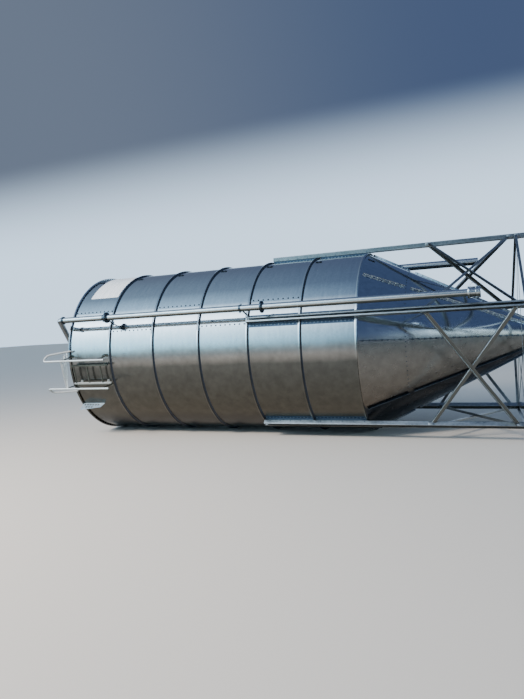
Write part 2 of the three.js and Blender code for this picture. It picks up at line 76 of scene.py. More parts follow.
# Legs and bracing
LEGS = 5
FIRST_LEG = 18
LEG_WIDE = 85
LEG_IN_R = 1588
LEG_OUT_R = 1663
LEG_STEEL = 4
LEG_LIP = 24
LEG_TOP_X = 4 * RING_PITCH + 8
LEG_FOOT_X = 9000
STRIP_FOOT = 62
STRIP_BOLTS = 14
ANCHOR = {"side": 90, "out": 80}
GUSSET = {"high": 90, "wide": 60, "thick": 8}
FOOT_PLATE = {"along": 12, "wide": 240, "deep": 220}
BRACE_X = [6490, 7775]
TIE_X = 7880
BRACE_WIDE = 50
BRACE_THICK = 7
BRACE_R = 1652
BRACE_TAB = {"long": 96, "wide": 58, "thick": 6, "bolts": 28}
TIE_TAB = {"long": 80, "wide": 60, "thick": 6}
BRACE_ARM = {"reach": 42, "thick": 5, "trim": 52}
TIE_ARM = {"reach": 40, "thick": 5, "trim": 50}

# Pipes
PIPE_END_X = 7284
FILL = {"angle": 22.5, "r": 1830, "radius": 53, "wall": 6}
VENT = {"angle": 131.3, "r": 1830, "radius": 69, "wall": 6, "roof_end_r": 700}
PIPE_JOINTS = [1000, 4000]
PIPE_FLANGE = {"radius": 98, "thick": 18 * 0.7, "bolts": 6, "bolt_r": 76}
BRACKETS_X = [942, 3626]
CLAMP = {"half": 18, "thick": 5, "strut": (34, 8), "pad": (80, 6), "pad_half": 20,
         "ear": (8, 26), "ear_half": 16}
ROOF_CLEAR = 179.6
BEND_R = [110, 160]
COUPLING = 172
LEVER = {"long": 100, "section": (24, 9), "latch": (34, 16)}
ELBOW_COLLAR = {"x": 30, "radius": 72, "half": 12}

# Fittings on the top ring
LADDER = {"angles": [-5.4, -17.5], "r": 1640, "from": 90, "to": 905,
          "rungs": [132, 432, 732], "feet": [192, 792], "half": 14, "deep": 20,
          "strut": (38, 7), "pad": (60, 5), "pad_half": 22, "rung": 15, "tooth": 16.5}
GUARD = {"angles": [-1.4, -17.4], "foot": [0.6, -20], "eave": [4.3, -23.7], "r": 1900,
         "from": -335, "to": 1025, "posts": [60, 840], "knee": (15, -95), "landing": 60,
         "tube": 17, "post": 11, "rod": 9, "rod_foot": 92, "rod_step": 5,
         "gate": [(60, 1888, -1.4), (48, 1845, 0.1), (56, 1795, 1.3), (40, 1745, 2.4), (52, 1695, 3.3)],
         "hook": [(955, 1893, -1.4), (985, 1880, 0.6), (1020, 1850, 1.6), (1050, 1800, 0.4)]}
PLATE = {"angle": -36, "from": 8, "to": 500, "out": [1740, 1662], "pitch": 62, "hole": 20, "thick": 4,
         "slant_from": 28, "slant_long": 430, "rim": 12, "margin": 60}
SIGN = {"from": 232, "to": 852, "angles": [45, 99], "r": SHELL_R + 3.5, "thick": 3}

# Bolts, mastic and lifting straps
SEAL_ALONG = 25
LUG = {"from": 60, "long": 110, "angle": 69, "wide": 50, "thick": 6}
LAP_PITCH = 88
LAP_ENDS = 110
LAP_COVER = (-0.4, 1.6)
LAP_ROW = 0.7
WASHER = {"radius": 14, "thick": 4}
JOINT_BOLTS = 60
EAVE_BOLTS = 120

# Bolt heads, as (radius, height)
LAP_HEAD = (6, 6)
SMALL_HEAD = (8, 6)
RIM_HEAD = (8, 7)
FLANGE_HEAD = (8, 8)
FRAME_HEAD = (9, 7)
SEAM_HEAD = (9, 8)
STRAP_HEAD = (11, 6)
ANCHOR_HEAD = (14, 10)

# Camera: place from the middle of the eave in metres, and the directions of its right and top
CAMERA = {"lens": 28.615, "sensor": 36, "near": 0.1, "far": 500, "place": (7.2041, -10.061, 0.40245),
          "right": (0.93197, 0.35809, -0.05655), "up": (0.03721, 0.06068, 0.99746)}

boxes = [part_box(f"ring_1_sheet_{k + 1}") for k in range(SHEETS_PER_RING)]
low = Vector(min(b[0][i] for b in boxes) for i in range(3))
high = Vector(max(b[1][i] for b in boxes) for i in range(3))
EAVE = Vector((low.x - GAP / 2 * MM, (low.y + high.y) / 2, (low.z + high.z) / 2))
ALONG = Vector((1, 0, 0))


def at(x, r, angle):
    """Point at a length along the axis, a radius and an angle, in metres."""
    a = math.radians(angle)
    return EAVE + Vector((x, -r * math.cos(a), r * math.sin(a))) * MM


def outward(angle):
    """Direction straight out from the axis at an angle."""
    a = math.radians(angle)
    return Vector((0, -math.cos(a), math.sin(a)))


def cone_r(x):
    """Radius of the hopper at a length along the axis."""
    return SHELL_R * (ring_x(RINGS) + HOPPER_HEIGHT - x) / HOPPER_HEIGHT


def cone_x(r):
    """Length along the axis at which the hopper has a radius."""
    return ring_x(RINGS) + HOPPER_HEIGHT * (1 - r / SHELL_R)


def ring_x(i):
    """Length along the axis at which a ring starts."""
    return i * RING_PITCH


def roof_x(r):
    """Length along the axis at which the roof has a radius."""
    return -GAP - 6 - (SHELL_R + 6 - r) * math.tan(math.radians(ROOF_SLOPE))


def leg_angle(k):
    """Angle of a leg round the axis."""
    return FIRST_LEG + 360 / LEGS * k


# Materials


def srgb(text):
    """Linear colour of an sRGB hex value."""
    parts = [int(text[i:i + 2], 16) / 255 for i in (1, 3, 5)]
    return [*[p / 12.92 if p <= 0.04045 else ((p + 0.055) / 1.055) ** 2.4 for p in parts], 1]


def add(tree, kind, inputs=None, stops=(), **settings):
    """Adds a node with its settings and colour stops of (place, colour), and links or sets its inputs."""
    made = tree.nodes.new(kind)
    if stops:
        ramp = made.color_ramp.elements
        while len(ramp) < len(stops):
            ramp.new(1)
        for (place, colour), element in zip(stops, ramp):
            element.position = place
            element.color = srgb(colour)
    for name, value in settings.items():
        setattr(made, name, value)
    for name, value in (inputs or {}).items():
        socket = made.inputs[name]
        if isinstance(value, bpy.types.NodeSocket):
            tree.links.new(value, socket)
        else:
            socket.default_value = value
    return made


def blank(name):
    """New material, its node tree and its shader."""
    made = bpy.data.materials.new(name)
    made.use_nodes = True
    return made, made.node_tree, made.node_tree.nodes["Principled BSDF"]


def galvanised(name, bright, dull, stretch, rough, painted_ground=None, under=None, wave=0.2, metal=1):
    """Hot-dip galvanised steel: a bright zinc skin with soft patches of crystal and drawn-out roller
    streaks. The list of (height in metres, colour) from the ground up is a painted reflection of a dark
    ground, with painted shadow near-black at its foot, laid on as a dust-like film that also takes the shine
    off. under is the tone of painted shade on the undersides, the slopes between which it sets in, as the
    upward part of the surface's direction, and how much of it is left on the side turned to the shell.
    stretch draws the streaks out. metal under 1 lets a pale base colour show, as painted brightness of
    sunlit parts.

    Before the stretch the streaks are about 170 mm wide (scale 6) and the sheet's ripple is about 830 mm
    long (scale 1.2). Zinc crystals are up to about 20 mm across: at scale 22 they are drawn 45 mm wide,
    coarse enough to show. The painted ground tone lies in clouds of about 670 mm (scale 1.5), with blotches
    of about 140 mm (scale 7). The clouds, blotches and crystals aren't stretched."""
    made, tree, shader = blank(name)
    place = add(tree, "ShaderNodeTexCoord").outputs["Object"]
    drawn = add(tree, "ShaderNodeMapping", {"Vector": place, "Scale": stretch}).outputs["Vector"]
    streaks = add(tree, "ShaderNodeTexNoise", {"Vector": drawn, "Scale": 6, "Detail": 5, "Roughness": 0.55})
    crystal = add(tree, "ShaderNodeTexVoronoi", {"Vector": place, "Scale": 22})
    mottled = add(tree, "ShaderNodeMix",
                  {0: 0.25, 2: streaks.outputs["Fac"], 3: crystal.outputs["Distance"]})
    colour = add(tree, "ShaderNodeValToRGB", {"Fac": mottled.outputs[0]},
                 [(0.25, dull), (0.75, bright)]).outputs["Color"]
    shine = add(tree, "ShaderNodeMapRange",
                {"Value": streaks.outputs["Fac"], "To Min": rough * 0.75, "To Max": rough * 1.25})
    roughness = shine.outputs["Result"]
    # Painted reflection of a dark ground and painted shadow at its foot: a tone by height with a blotchy
    # spread, laid over the zinc below the top height
    if painted_ground:
        height = add(tree, "ShaderNodeSeparateXYZ", {"Vector": place}).outputs["Z"]
        cloud = add(tree, "ShaderNodeTexNoise", {"Vector": place, "Scale": 1.5, "Detail": 3})
        blotch = add(tree, "ShaderNodeTexNoise",
                     {"Vector": place, "Scale": 7, "Detail": 5, "Roughness": 0.6})
        uneven = add(tree, "ShaderNodeMath", {0: cloud.outputs["Fac"], 1: 0.1, 2: -0.05},
                     operation="MULTIPLY_ADD")
        level = add(tree, "ShaderNodeMath", {0: height, 1: uneven.outputs[0]}).outputs[0]
        top = painted_ground[-1][0]
        part = add(tree, "ShaderNodeMath", {0: level, 1: top}, operation="DIVIDE").outputs[0]
        ground_tone = add(tree, "ShaderNodeValToRGB", {"Fac": part},
                   [(z / top, tone) for z, tone in painted_ground]).outputs["Color"]
        patchy = add(tree, "ShaderNodeMapRange", {"Value": blotch.outputs["Fac"], "From Min": 0.3,
                                                  "From Max": 0.7, "To Min": 0.84, "To Max": 1.16})
        ground_tone = add(tree, "ShaderNodeVectorMath", {0: ground_tone, "Scale": patchy.outputs["Result"]},
                   operation="SCALE").outputs["Vector"]
        ground_share = add(tree, "ShaderNodeMapRange",
                   {"Value": level, "From Min": top + 0.1, "From Max": top - 0.12},
                   interpolation_type="SMOOTHSTEP").outputs["Result"]
        ground_mix = add(tree, "ShaderNodeMix", {"Factor": ground_share, "A": colour, "B": ground_tone}, data_type="RGBA")
        colour = ground_mix.outputs["Result"]
        dim = add(tree, "ShaderNodeMapRange", {"Value": ground_share, "To Min": 0, "To Max": 0.16})
        roughness = add(tree, "ShaderNodeMath", {0: roughness, 1: dim.outputs["Result"]}).outputs[0]
    # Painted shade: undersides darker by the upward part of the surface's direction, less so on the side
    # turned to the shell
    if under:
        tone, lit, dark_from, behind = under
        facing = add(tree, "ShaderNodeNewGeometry").outputs["Normal"]
        facing = add(tree, "ShaderNodeSeparateXYZ", {"Vector": facing}).outputs
        underside_shade = add(tree, "ShaderNodeMapRange",
                      {"Value": facing["Z"], "From Min": lit, "From Max": dark_from},
                      interpolation_type="SMOOTHSTEP")
        turned = add(tree, "ShaderNodeMapRange", {"Value": facing["Y"], "From Min": 0.05, "From Max": 0.3,
                                                  "To Min": 1, "To Max": behind})
        painted_shade_share = add(tree, "ShaderNodeMath", {0: underside_shade.outputs["Result"], 1: turned.outputs["Result"]},
                        operation="MULTIPLY")
        dark = add(tree, "ShaderNodeMix", {"Factor": painted_shade_share.outputs[0], "A": colour, "B": srgb(tone)},
                   data_type="RGBA")
        colour = dark.outputs["Result"]
    ripple = add(tree, "ShaderNodeTexNoise", {"Vector": drawn, "Scale": 1.2, "Detail": 2})
    bump = add(tree, "ShaderNodeBump", {"Height": ripple.outputs["Fac"], "Strength": wave, "Distance": 0.02})
    links = {"Base Color": colour, "Roughness": roughness, "Normal": bump.outputs["Normal"]}
    for socket, value in links.items():
        tree.links.new(value, shader.inputs[socket])
    shader.inputs["Metallic"].default_value = metal
    return made


# Painted reflection of a dark ground on the sheets: near-black painted shadow at the ground, grey-brown
# above it, thinning to bare zinc, by metres
SHELL_PAINTED_GROUND = [(0, "#080808"), (0.3, "#302c28"), (0.5, "#545048"), (1.35, "#545654"), (1.7, "#b0aca8")]
CONE_PAINTED_GROUND = [(0, "#383430"), (0.6, "#605850"), (1.7, "#80807c")]
# Each finish's under tone, with its slopes and the share left on the side turned to the shell, is painted
# shade on its undersides
SHEET_FINISH = galvanised("galvanised_sheet", "#dfe5e9", "#cad2d8", (3, 0.5, 0.5), 0.1, SHELL_PAINTED_GROUND,
                          wave=0.12)
CONE_FINISH = galvanised("galvanised_cone_sheet", "#cdd5de", "#b6c1cc", (0.6, 3, 3), 0.12, CONE_PAINTED_GROUND,
                         ("#2a2e34", -0.56, -0.61, 1), 0.14)
SEAM_FINISH = galvanised("galvanised_seam", "#b3bdc7", "#939eaa", (0.6, 3, 3), 0.2, wave=0.05)
# Darker copy of the seam finish: painted shade on the hopper's lower seams
SHADED_SEAM_FINISH = galvanised("shaded_galvanised_seam", "#66717c", "#4a545e", (0.6, 3, 3), 0.3, wave=0.05)
SECTION_FINISH = galvanised("galvanised_section", "#d6dadb", "#9aa1a4", (0.5, 4, 4), 0.3, None,
                            ("#4b4c47", 0.25, -0.35, 1), 0.1)
BRACE_FINISH = galvanised("galvanised_angle", "#bcc0bf", "#91959a", (0.5, 4, 4), 0.36, None,
                          ("#575854", 0.2, -0.4, 1), 0.1)
STRIP_FINISH = galvanised("galvanised_strip", "#a9bac6", "#8699a8", (0.5, 4, 4), 0.3, None,
                          ("#546274", 0.85, 0.4, 1), 0.1)
# Pale blue base, part matt: painted brightness and painted sky reflection on the perforated plate
PLATE_FINISH = galvanised("galvanised_perforated_sheet", "#d3e5f2", "#a9c4d8", (2, 2, 2), 0.45,
                          wave=0.05, metal=0.45)
TUBE_FINISH = galvanised("galvanised_tube", "#eef1f2", "#c9cfd1", (0.4, 4, 4), 0.22, None,
                         ("#454a48", 0.05, -0.5, 0.62), 0.04)
# Near-white base, part matt: painted brightness of sunlit tubes
RAIL_FINISH = galvanised("galvanised_rail", "#f6f8f8", "#e6ebec", (0.4, 4, 4), 0.38, None,
                         ("#9ba3a2", 0.25, -0.35, 1), 0.04, 0.55)
CLAMP_FINISH = galvanised("galvanised_clamp", "#77838e", "#56626d", (4, 4, 4), 0.32, None,
                          ("#31363a", 0.25, -0.35, 1), 0.05)
# Darker copy of the tube finish: painted shade
SHADED_FINISH = galvanised("shaded_galvanised_tube", "#6a6e68", "#4c504b", (0.5, 4, 4), 0.4, wave=0.05)


def zinc_fastener(name, dull, bright):
    """Zinc-plated bolts: an evenly satin plating, from bright and slightly blue to dull with storage; the
    dull copy is painted shade. The tint drifts over about 110 mm (scale 9), so that one bolt differs a
    little from the next."""
    made, tree, shader = blank(name)
    place = add(tree, "ShaderNodeTexCoord").outputs["Object"]
    tint = add(tree, "ShaderNodeTexNoise", {"Vector": place, "Scale": 9})
    skin = add(tree, "ShaderNodeValToRGB", {"Fac": tint.outputs["Fac"]}, [(0.3, dull), (0.7, bright)])
    tree.links.new(skin.outputs["Color"], shader.inputs["Base Color"])
    shader.inputs["Metallic"].default_value = 1
    shader.inputs["Roughness"].default_value = 0.3
    return made


def dark_rubbery(name, low, high, roughness):
    """Soft black sealing material: nearly matt, with a faint skin that is lighter where it is worn. Its
    lumps are drawn about 25 mm wide (scale 40), coarser than real."""
    made, tree, shader = blank(name)
    place = add(tree, "ShaderNodeTexCoord").outputs["Object"]
    lumps = add(tree, "ShaderNodeTexNoise", {"Vector": place, "Scale": 40, "Detail": 4})
    skin = add(tree, "ShaderNodeValToRGB", {"Fac": lumps.outputs["Fac"]}, [(0.3, low), (0.7, high)])
    bump = add(tree, "ShaderNodeBump", {"Height": lumps.outputs["Fac"], "Distance": 0.002})
    tree.links.new(skin.outputs["Color"], shader.inputs["Base Color"])
    tree.links.new(bump.outputs["Normal"], shader.inputs["Normal"])
    shader.inputs["Roughness"].default_value = roughness
    return made


def white_lacquer():
    """White lacquered aluminium sheet: satin, slightly chalky, with faint rain marks about 45 mm wide that
    run down the sheet for about 270 mm."""
    made, tree, shader = blank("white_lacquer")
    place = add(tree, "ShaderNodeTexCoord").outputs["Object"]
    runs = add(tree, "ShaderNodeMapping", {"Vector": place, "Scale": (9, 1.5, 1.5)})
    marks = add(tree, "ShaderNodeTexNoise", {"Vector": runs.outputs["Vector"], "Scale": 2.5, "Detail": 5})
    skin = add(tree, "ShaderNodeValToRGB", {"Fac": marks.outputs["Fac"]},
               [(0.35, "#d8e5f0"), (0.65, "#ebf4fd")])
    tree.links.new(skin.outputs["Color"], shader.inputs["Base Color"])
    shader.inputs["Roughness"].default_value = 0.38
    return made


BOLT_FINISH = zinc_fastener("zinc_fastener", "#b9c4c2", "#eef5ee")
SATIN_BOLT_FINISH = zinc_fastener("satin_zinc_fastener", "#76838e", "#97a3ac")
# Darker copy of the bolt finish: painted shade, on the lap bolts, the ring joints other than the eave and
# the hopper's lower bolts
DULL_BOLT_FINISH = zinc_fastener("dull_zinc_fastener", "#39434c", "#5a656e")
# Navy-black seal: mastic, and painted shadow and painted reflection at the ring joints
MASTIC_AND_SHADE = dark_rubbery("butyl_mastic_and_shade", "#0f1826", "#1a2738", 0.5)
RUBBER = dark_rubbery("epdm_rubber", "#1d2226", "#2b3136", 0.6)
LACQUER = white_lacquer()


# Mesh helpers

SHARP = [0.001] * 60  # bends of a line that is already rounded


def edges_of(geometry):
    return [g for g in geometry if isinstance(g, bmesh.types.BMEdge)]


def verts_of(geometry):
    return [g for g in geometry if isinstance(g, bmesh.types.BMVert)]


def bent(points, radius, steps=4, flat=0):
    """A line with each inner corner turned into a bend. flat sets a point beside each bend, as a share of
    its radius, so that the sheet between two bends stays truly flat."""
    line = [Vector(points[0])]
    for before, corner, after in zip(points, points[1:], points[2:]):
        corner = Vector(corner)
        into = (Vector(before) - corner).normalized() * radius
        out = (Vector(after) - corner).normalized() * radius
        if flat:
            line.append(corner + into * flat)
        for i in range(steps + 1):
            t = i / steps
            line.append(corner + into * (1 - t) ** 2 + out * t ** 2)
        if flat:
            line.append(corner + out * flat)
    return [*line, Vector(points[-1])]


def wire(bm, points):
    """Edges through the points, as geometry for spin or extrude."""
    verts = [bm.verts.new(p) for p in points]
    return verts + [bm.edges.new(pair) for pair in zip(verts, verts[1:])]


def spun(bm, line, start, end, step=TURN_STEP):
    """Turns a line of (x, r) points round the axis from one angle to another."""
    geometry = wire(bm, [at(x, r, start) for x, r in line])
    steps = max(1, round((end - start) / step))
    bmesh.ops.spin(bm, geom=geometry, cent=EAVE, axis=-ALONG, angle=math.radians(end - start),
                   steps=steps, use_merge=end - start >= 360)


def thicken(bm, faces, thick):
    """Gives sheet faces a thickness behind their outer side."""
    bmesh.ops.solidify(bm, geom=faces, thickness=thick * MM)


def bar(bm, a, b, wide, thick, out, bevel=1.5):
    """Flat bar between two points, its wide face square to the outward direction."""
    along = (b - a).normalized()
    out = (out - along * out.dot(along)).normalized()
    side = out.cross(along)
    turn = Matrix((along, side, out)).transposed().to_4x4()
    size = Matrix.Diagonal(((b - a).length, wide * MM, thick * MM, 1))
    made = bmesh.ops.create_cube(bm, size=1, matrix=Matrix.Translation((a + b) / 2) @ turn @ size)
    if bevel:
        edges = list({e for v in made["verts"] for e in v.link_edges})
        bmesh.ops.bevel(bm, geom=edges, offset=bevel * MM, segments=2, profile=0.5, affect="EDGES",
                        material=-1)


def section(bm, line, a, b, out, thick, bend=0):
    """Folded section between two points: line holds its (sideways, outward) points."""
    along = (b - a).normalized()
    out = (out - along * out.dot(along)).normalized()
    side = out.cross(along)
    points = bent(line, bend, 3, FLAT) if bend else [Vector(p) for p in line]
    before = set(bm.faces)
    geometry = wire(bm, [a + (side * p[0] + out * p[1]) * MM for p in points])
    made = bmesh.ops.extrude_edge_only(bm, edges=edges_of(geometry))
    bmesh.ops.translate(bm, verts=verts_of(made["geom"]), vec=b - a)
    thicken(bm, [f for f in bm.faces if f not in before], thick)


def rod(bm, a, b, radius, sides=10):
    """Round bar between two points."""
    turn = (b - a).to_track_quat("Z", "Y").to_matrix().to_4x4()
    bmesh.ops.create_cone(bm, cap_ends=True, segments=sides, radius1=radius * MM, radius2=radius * MM,
                          depth=(b - a).length, matrix=Matrix.Translation((a + b) / 2) @ turn)


def pipe(bm, points, radius, bends, sides=32):
    """Open tube through the points, with a round bend of its own radius at each inner one."""
    heading = (points[1] - points[0]).normalized()
    turn = heading.to_track_quat("Z", "Y").to_matrix().to_4x4()
    made = bmesh.ops.create_circle(bm, segments=sides, radius=radius * MM,
                                   matrix=Matrix.Translation(points[0]) @ turn)
    ring = list({e for v in made["verts"] for e in v.link_edges})
    here = points[0]
    for i in range(1, len(points)):
        heading = (points[i] - points[i - 1]).normalized()
        last = i == len(points) - 1
        stop = points[i]
        if not last:
            after = (points[i + 1] - points[i]).normalized()
            turn = heading.angle(after)
            bend_r = bends[i - 1]
            back = bend_r * MM * math.tan(turn / 2)
            stop = points[i] - heading * back
        step = bmesh.ops.extrude_edge_only(bm, edges=ring)["geom"]
        bmesh.ops.translate(bm, verts=verts_of(step), vec=stop - here)
        ring, here = edges_of(step), stop
        if not last:
            axis = heading.cross(after).normalized()
            centre = stop + axis.cross(heading) * bend_r * MM
            spin = bmesh.ops.spin(bm, geom=[*verts_of(step), *ring], cent=centre, axis=axis, angle=turn,
                                  steps=12)
            ring = edges_of(spin["geom_last"])
            here = points[i] + after * back


def bolt(bm, place, out, head=10, high=8):
    """Bolt head on a washer."""
    turn = out.to_track_quat("Z", "Y").to_matrix().to_4x4()
    for sides, radius, base, top in ((10, head * 1.35, 0, 2.5), (6, head, 2.5, 2.5 + high)):
        middle = Matrix.Translation(place + out * (base + top) / 2 * MM)
        bmesh.ops.create_cone(bm, cap_ends=True, segments=sides, radius1=radius * MM, radius2=radius * MM,
                              depth=(top - base) * MM, matrix=middle @ turn)


def disc(bm, place, out, radius, thick, sides=32, bevel=1.5):
    """Round plate that stands out from a place."""
    turn = out.to_track_quat("Z", "Y").to_matrix().to_4x4()
    middle = Matrix.Translation(place + out * thick / 2 * MM)
    made = bmesh.ops.create_cone(bm, cap_ends=True, segments=sides, radius1=radius * MM, radius2=radius * MM,
                                 depth=thick * MM, matrix=middle @ turn)
    rims = [e for e in {e for v in made["verts"] for e in v.link_edges} if abs(e.calc_face_angle(0)) > 1]
    bmesh.ops.bevel(bm, geom=rims, offset=bevel * MM, segments=2, profile=0.5, affect="EDGES", material=-1)


def piece(name, bm, finish, slot, *nodes, crease=32):
    """Makes the mesh an object that rides on the silo and stands for its CAD nodes."""
    bmesh.ops.remove_doubles(bm, verts=bm.verts[:], dist=1e-6)
    bm.normal_update()
    limit = math.radians(crease)
    for face in bm.faces:
        face.smooth = True
    for edge in bm.edges:
        edge.smooth = edge.calc_face_angle(0) < limit
    mesh = bpy.data.meshes.new(name)
    bm.to_mesh(mesh)
    bm.free()
    mesh.materials.append(finish)
    made = bpy.data.objects.new(name, mesh)
    bpy.context.scene.collection.objects.link(made)
    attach(made, "root")
    if nodes:
        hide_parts(*nodes)


# Camera


def make_camera():
    """Camera at the place and angle that the photograph was taken from."""
    data = bpy.data.cameras.new("camera")
    data.lens = CAMERA["lens"]
    data.sensor_width = CAMERA["sensor"]
    data.clip_start = CAMERA["near"]
    data.clip_end = CAMERA["far"]
    made = bpy.data.objects.new("camera", data)
    right = Vector(CAMERA["right"])
    up = Vector(CAMERA["up"])
    back = right.cross(up).normalized()
    up = back.cross(right).normalized()
    turn = Matrix((right.normalized(), up, back)).transposed().to_4x4()
    made.matrix_world = Matrix.Translation(EAVE + Vector(CAMERA["place"])) @ turn
    bpy.context.scene.collection.objects.link(made)
    bpy.context.scene.camera = made


# Shell


def make_ring_sheet(ring, k):
    """One curved sheet with its folded flanges and the lap over the next sheet."""
    start = LAP_ANGLE[ring % 2] + 360 / SHEETS_PER_RING * k
    end = start + 360 / SHEETS_PER_RING
    x0, x1 = ring_x(ring) + GAP / 2 + SHEET, ring_x(ring + 1) - GAP / 2 - SHEET
    bm = bmesh.new()
    edge = FLANGE_R - SHEET
    line = [(x0, FLANGE_R), (x0, SHELL_R), (x1, SHELL_R), (x1, edge), (x1 - LIP, edge - LIP_DROP)]
    if ring == 0:
        line = [(x0 + LIP, edge - LIP_DROP), (x0, edge), *line[1:]]
    spun(bm, bent(line, FOLD, flat=FLAT), start, end)
    lap = SHELL_R + SHEET + 0.3
    spun(bm, [(x0 + FOLD, lap), (x1 - FOLD, lap)], end + LAP_COVER[0], end + LAP_COVER[1])
    thicken(bm, bm.faces[:], SHEET)
    piece(f"shell_sheet_{ring + 1}_{k + 1}", bm, SHEET_FINISH, "galvanised_sheet",
          f"ring_{ring + 1}_sheet_{k + 1}")


def make_lap_bolts(ring):
    """Rows of bolts through the laps of one ring, each on a rubber washer."""
    bolts, washers = bmesh.new(), bmesh.new()
    count = int((RING_PITCH - LAP_ENDS) / LAP_PITCH)
    first = ring_x(ring) + (RING_PITCH - LAP_PITCH * count) / 2
    for k in range(SHEETS_PER_RING):
        angle = LAP_ANGLE[ring % 2] + 360 / SHEETS_PER_RING * k + LAP_ROW
        out = outward(angle)
        for i in range(count + 1):
            place = at(first + LAP_PITCH * i, SHELL_R + SHEET, angle)
            disc(washers, place, out, WASHER["radius"], WASHER["thick"], 12, 1)
            bolt(bolts, place + out * WASHER["thick"] * MM, out, *LAP_HEAD)
    piece(f"lap_bolts_{ring + 1}", bolts, DULL_BOLT_FINISH, "galvanised_sheet")
    piece(f"lap_washers_{ring + 1}", washers, RUBBER, None)


def make_joint_bolts(joint):
    """Bolts through the flanges between two rings: heads towards the roof, nuts only where they show."""
    bm = bmesh.new()
    at_end = joint in (0, RINGS)
    count = EAVE_BOLTS if joint == 0 else JOINT_BOLTS
    for i in range(count):
        angle = (i + 0.5) * 360 / count
        for side in (-1, 1) if at_end else (-1,):
            place = at(ring_x(joint) + side * (SHEET + GAP / 2 + (4 if at_end else 0)), SHELL_R + 16, angle)
            bolt(bm, place, ALONG * side, *RIM_HEAD)
    # Ring joints other than the eave take the dull bolt finish: painted shade
    piece(f"joint_bolts_{joint + 1}", bm, DULL_BOLT_FINISH if joint else BOLT_FINISH, "galvanised_sheet")


def make_joint_seal(joint):
    """Mastic squeezed out of a ring joint, smoothed up its flange and along the next sheet: real sealant,
    whose dark band also stands as painted shadow and painted reflection of the flange.
    """
    x = ring_x(joint) + GAP / 2 + SHEET
    foot = SHELL_R - 0.5
    line = [(x - 1, foot), (x - 1, FLANGE_R - 5), (x + 2, FLANGE_R - 4), (x + 6, FLANGE_R - 8),
            (x + 9, SHELL_R + 12), (x + SEAL_ALONG - 8, SHELL_R + 4), (x + SEAL_ALONG, foot),
            (x - 1, foot)]
    bm = bmesh.new()
    spun(bm, line, 0, 360, 3)
    piece(f"joint_seal_{joint + 1}", bm, MASTIC_AND_SHADE, None)


def make_lugs():
    """Small bolted straps near the top of each ring, for lifting and turning it."""
    bm = bmesh.new()
    out = outward(LUG["angle"])
    for ring in range(RINGS + 1):
        x0 = ring_x(ring) + LUG["from"]
        radii = [(cone_r(x) if ring == RINGS else SHELL_R) + 5 for x in (x0, x0 + LUG["long"])]
        a, b = (at(x, r, LUG["angle"]) for x, r in zip((x0, x0 + LUG["long"]), radii))
        bar(bm, a, b, LUG["wide"], LUG["thick"], out, 1)
        for part in (0.2, 0.8):
            bolt(bm, a.lerp(b, part) + out * LUG["thick"] / 2 * MM, out, *STRAP_HEAD)
    piece("lifting_straps", bm, CLAMP_FINISH, "galvanised_sheet")


# Roof


def make_roof():
    """Three roof sheets with their folded ribs and bolts, and the lid at the top."""
    rise = math.radians(ROOF_SLOPE)
    top_out = Vector((-math.cos(rise), math.sin(rise)))
    span = 360 / ROOF_SHEETS
    for k in range(ROOF_SHEETS):
        start = LAP_ANGLE[1] + span * k
        bm = bmesh.new()
        line = [(roof_x(ROOF_TOP_R), ROOF_TOP_R), (-GAP - SHEET, SHELL_R + 6), (-GAP - SHEET, FLANGE_R)]
        spun(bm, bent(line, FOLD, flat=FLAT), start, start + span)
        thicken(bm, bm.faces[:], SHEET)
        ribs = ROOF_RIBS // ROOF_SHEETS
        for i in range(ribs):
            angle = start + span / ribs * i
            out = Vector((top_out[0], *(outward(angle) * top_out[1]).yz))
            a, b = (at(roof_x(r), r, angle) for r in (RIB["from"], RIB["to"]))
            rise_out = out * RIB["out"] * MM
            bar(bm, a + rise_out, b + rise_out, RIB["thick"], RIB["high"], out)
            bar(bm, a, b, RIB["foot"], RIB["thick"], out)
        piece(f"roof_panel_{k + 1}", bm, SHEET_FINISH, "galvanised_sheet", f"roof_sheet_{k + 1}")
    bm = bmesh.new()
    for i in range(ROOF_RIBS):
        angle = LAP_ANGLE[1] + 360 / ROOF_RIBS * i
        out = Vector((top_out[0], *(outward(angle) * top_out[1]).yz))
        down = at(0, 1, angle) - at(roof_x(ROOF_TOP_R), ROOF_TOP_R, angle)
        for r in range(400, RIB["from"], 90):
            for side in (-1, 1):
                shift = out.cross(down).normalized() * side * 18 * MM
                bolt(bm, at(roof_x(r), r, angle) + out * 2.5 * MM + shift, out, 7, 5)
    piece("roof_bolts", bm, BOLT_FINISH, "galvanised_sheet")
    bm = bmesh.new()
    x = roof_x(ROOF_TOP_R) - GAP
    rim, thick, collar, height = CAP["radius"], CAP["thick"], CAP["collar"], CAP["height"]
    line = [(x - height, 0.01), (x - height, collar - 4), (x - height + 4, collar), (x - thick - 6, collar),
            (x - thick, collar + 6), (x - thick, rim - thick - 8), (x - thick + 10, rim - 6), (x - 3, rim),
            (x, rim - 3), (x, 0.01)]
    spun(bm, line, 0, 360, 6)
    for i in range(12):
        angle = 30 * i
        bolt(bm, at(x - thick, rim - 70, angle), -ALONG, *SMALL_HEAD)
    piece("roof_lid", bm, SHEET_FINISH, "galvanised_sheet", "roof_cap")


# Hopper


def cone_out(angle):
    """Direction square to the hopper's sheet at an angle."""
    tilt = math.atan(SHELL_R / HOPPER_HEIGHT)
    return ALONG * math.sin(tilt) + outward(angle) * math.cos(tilt)


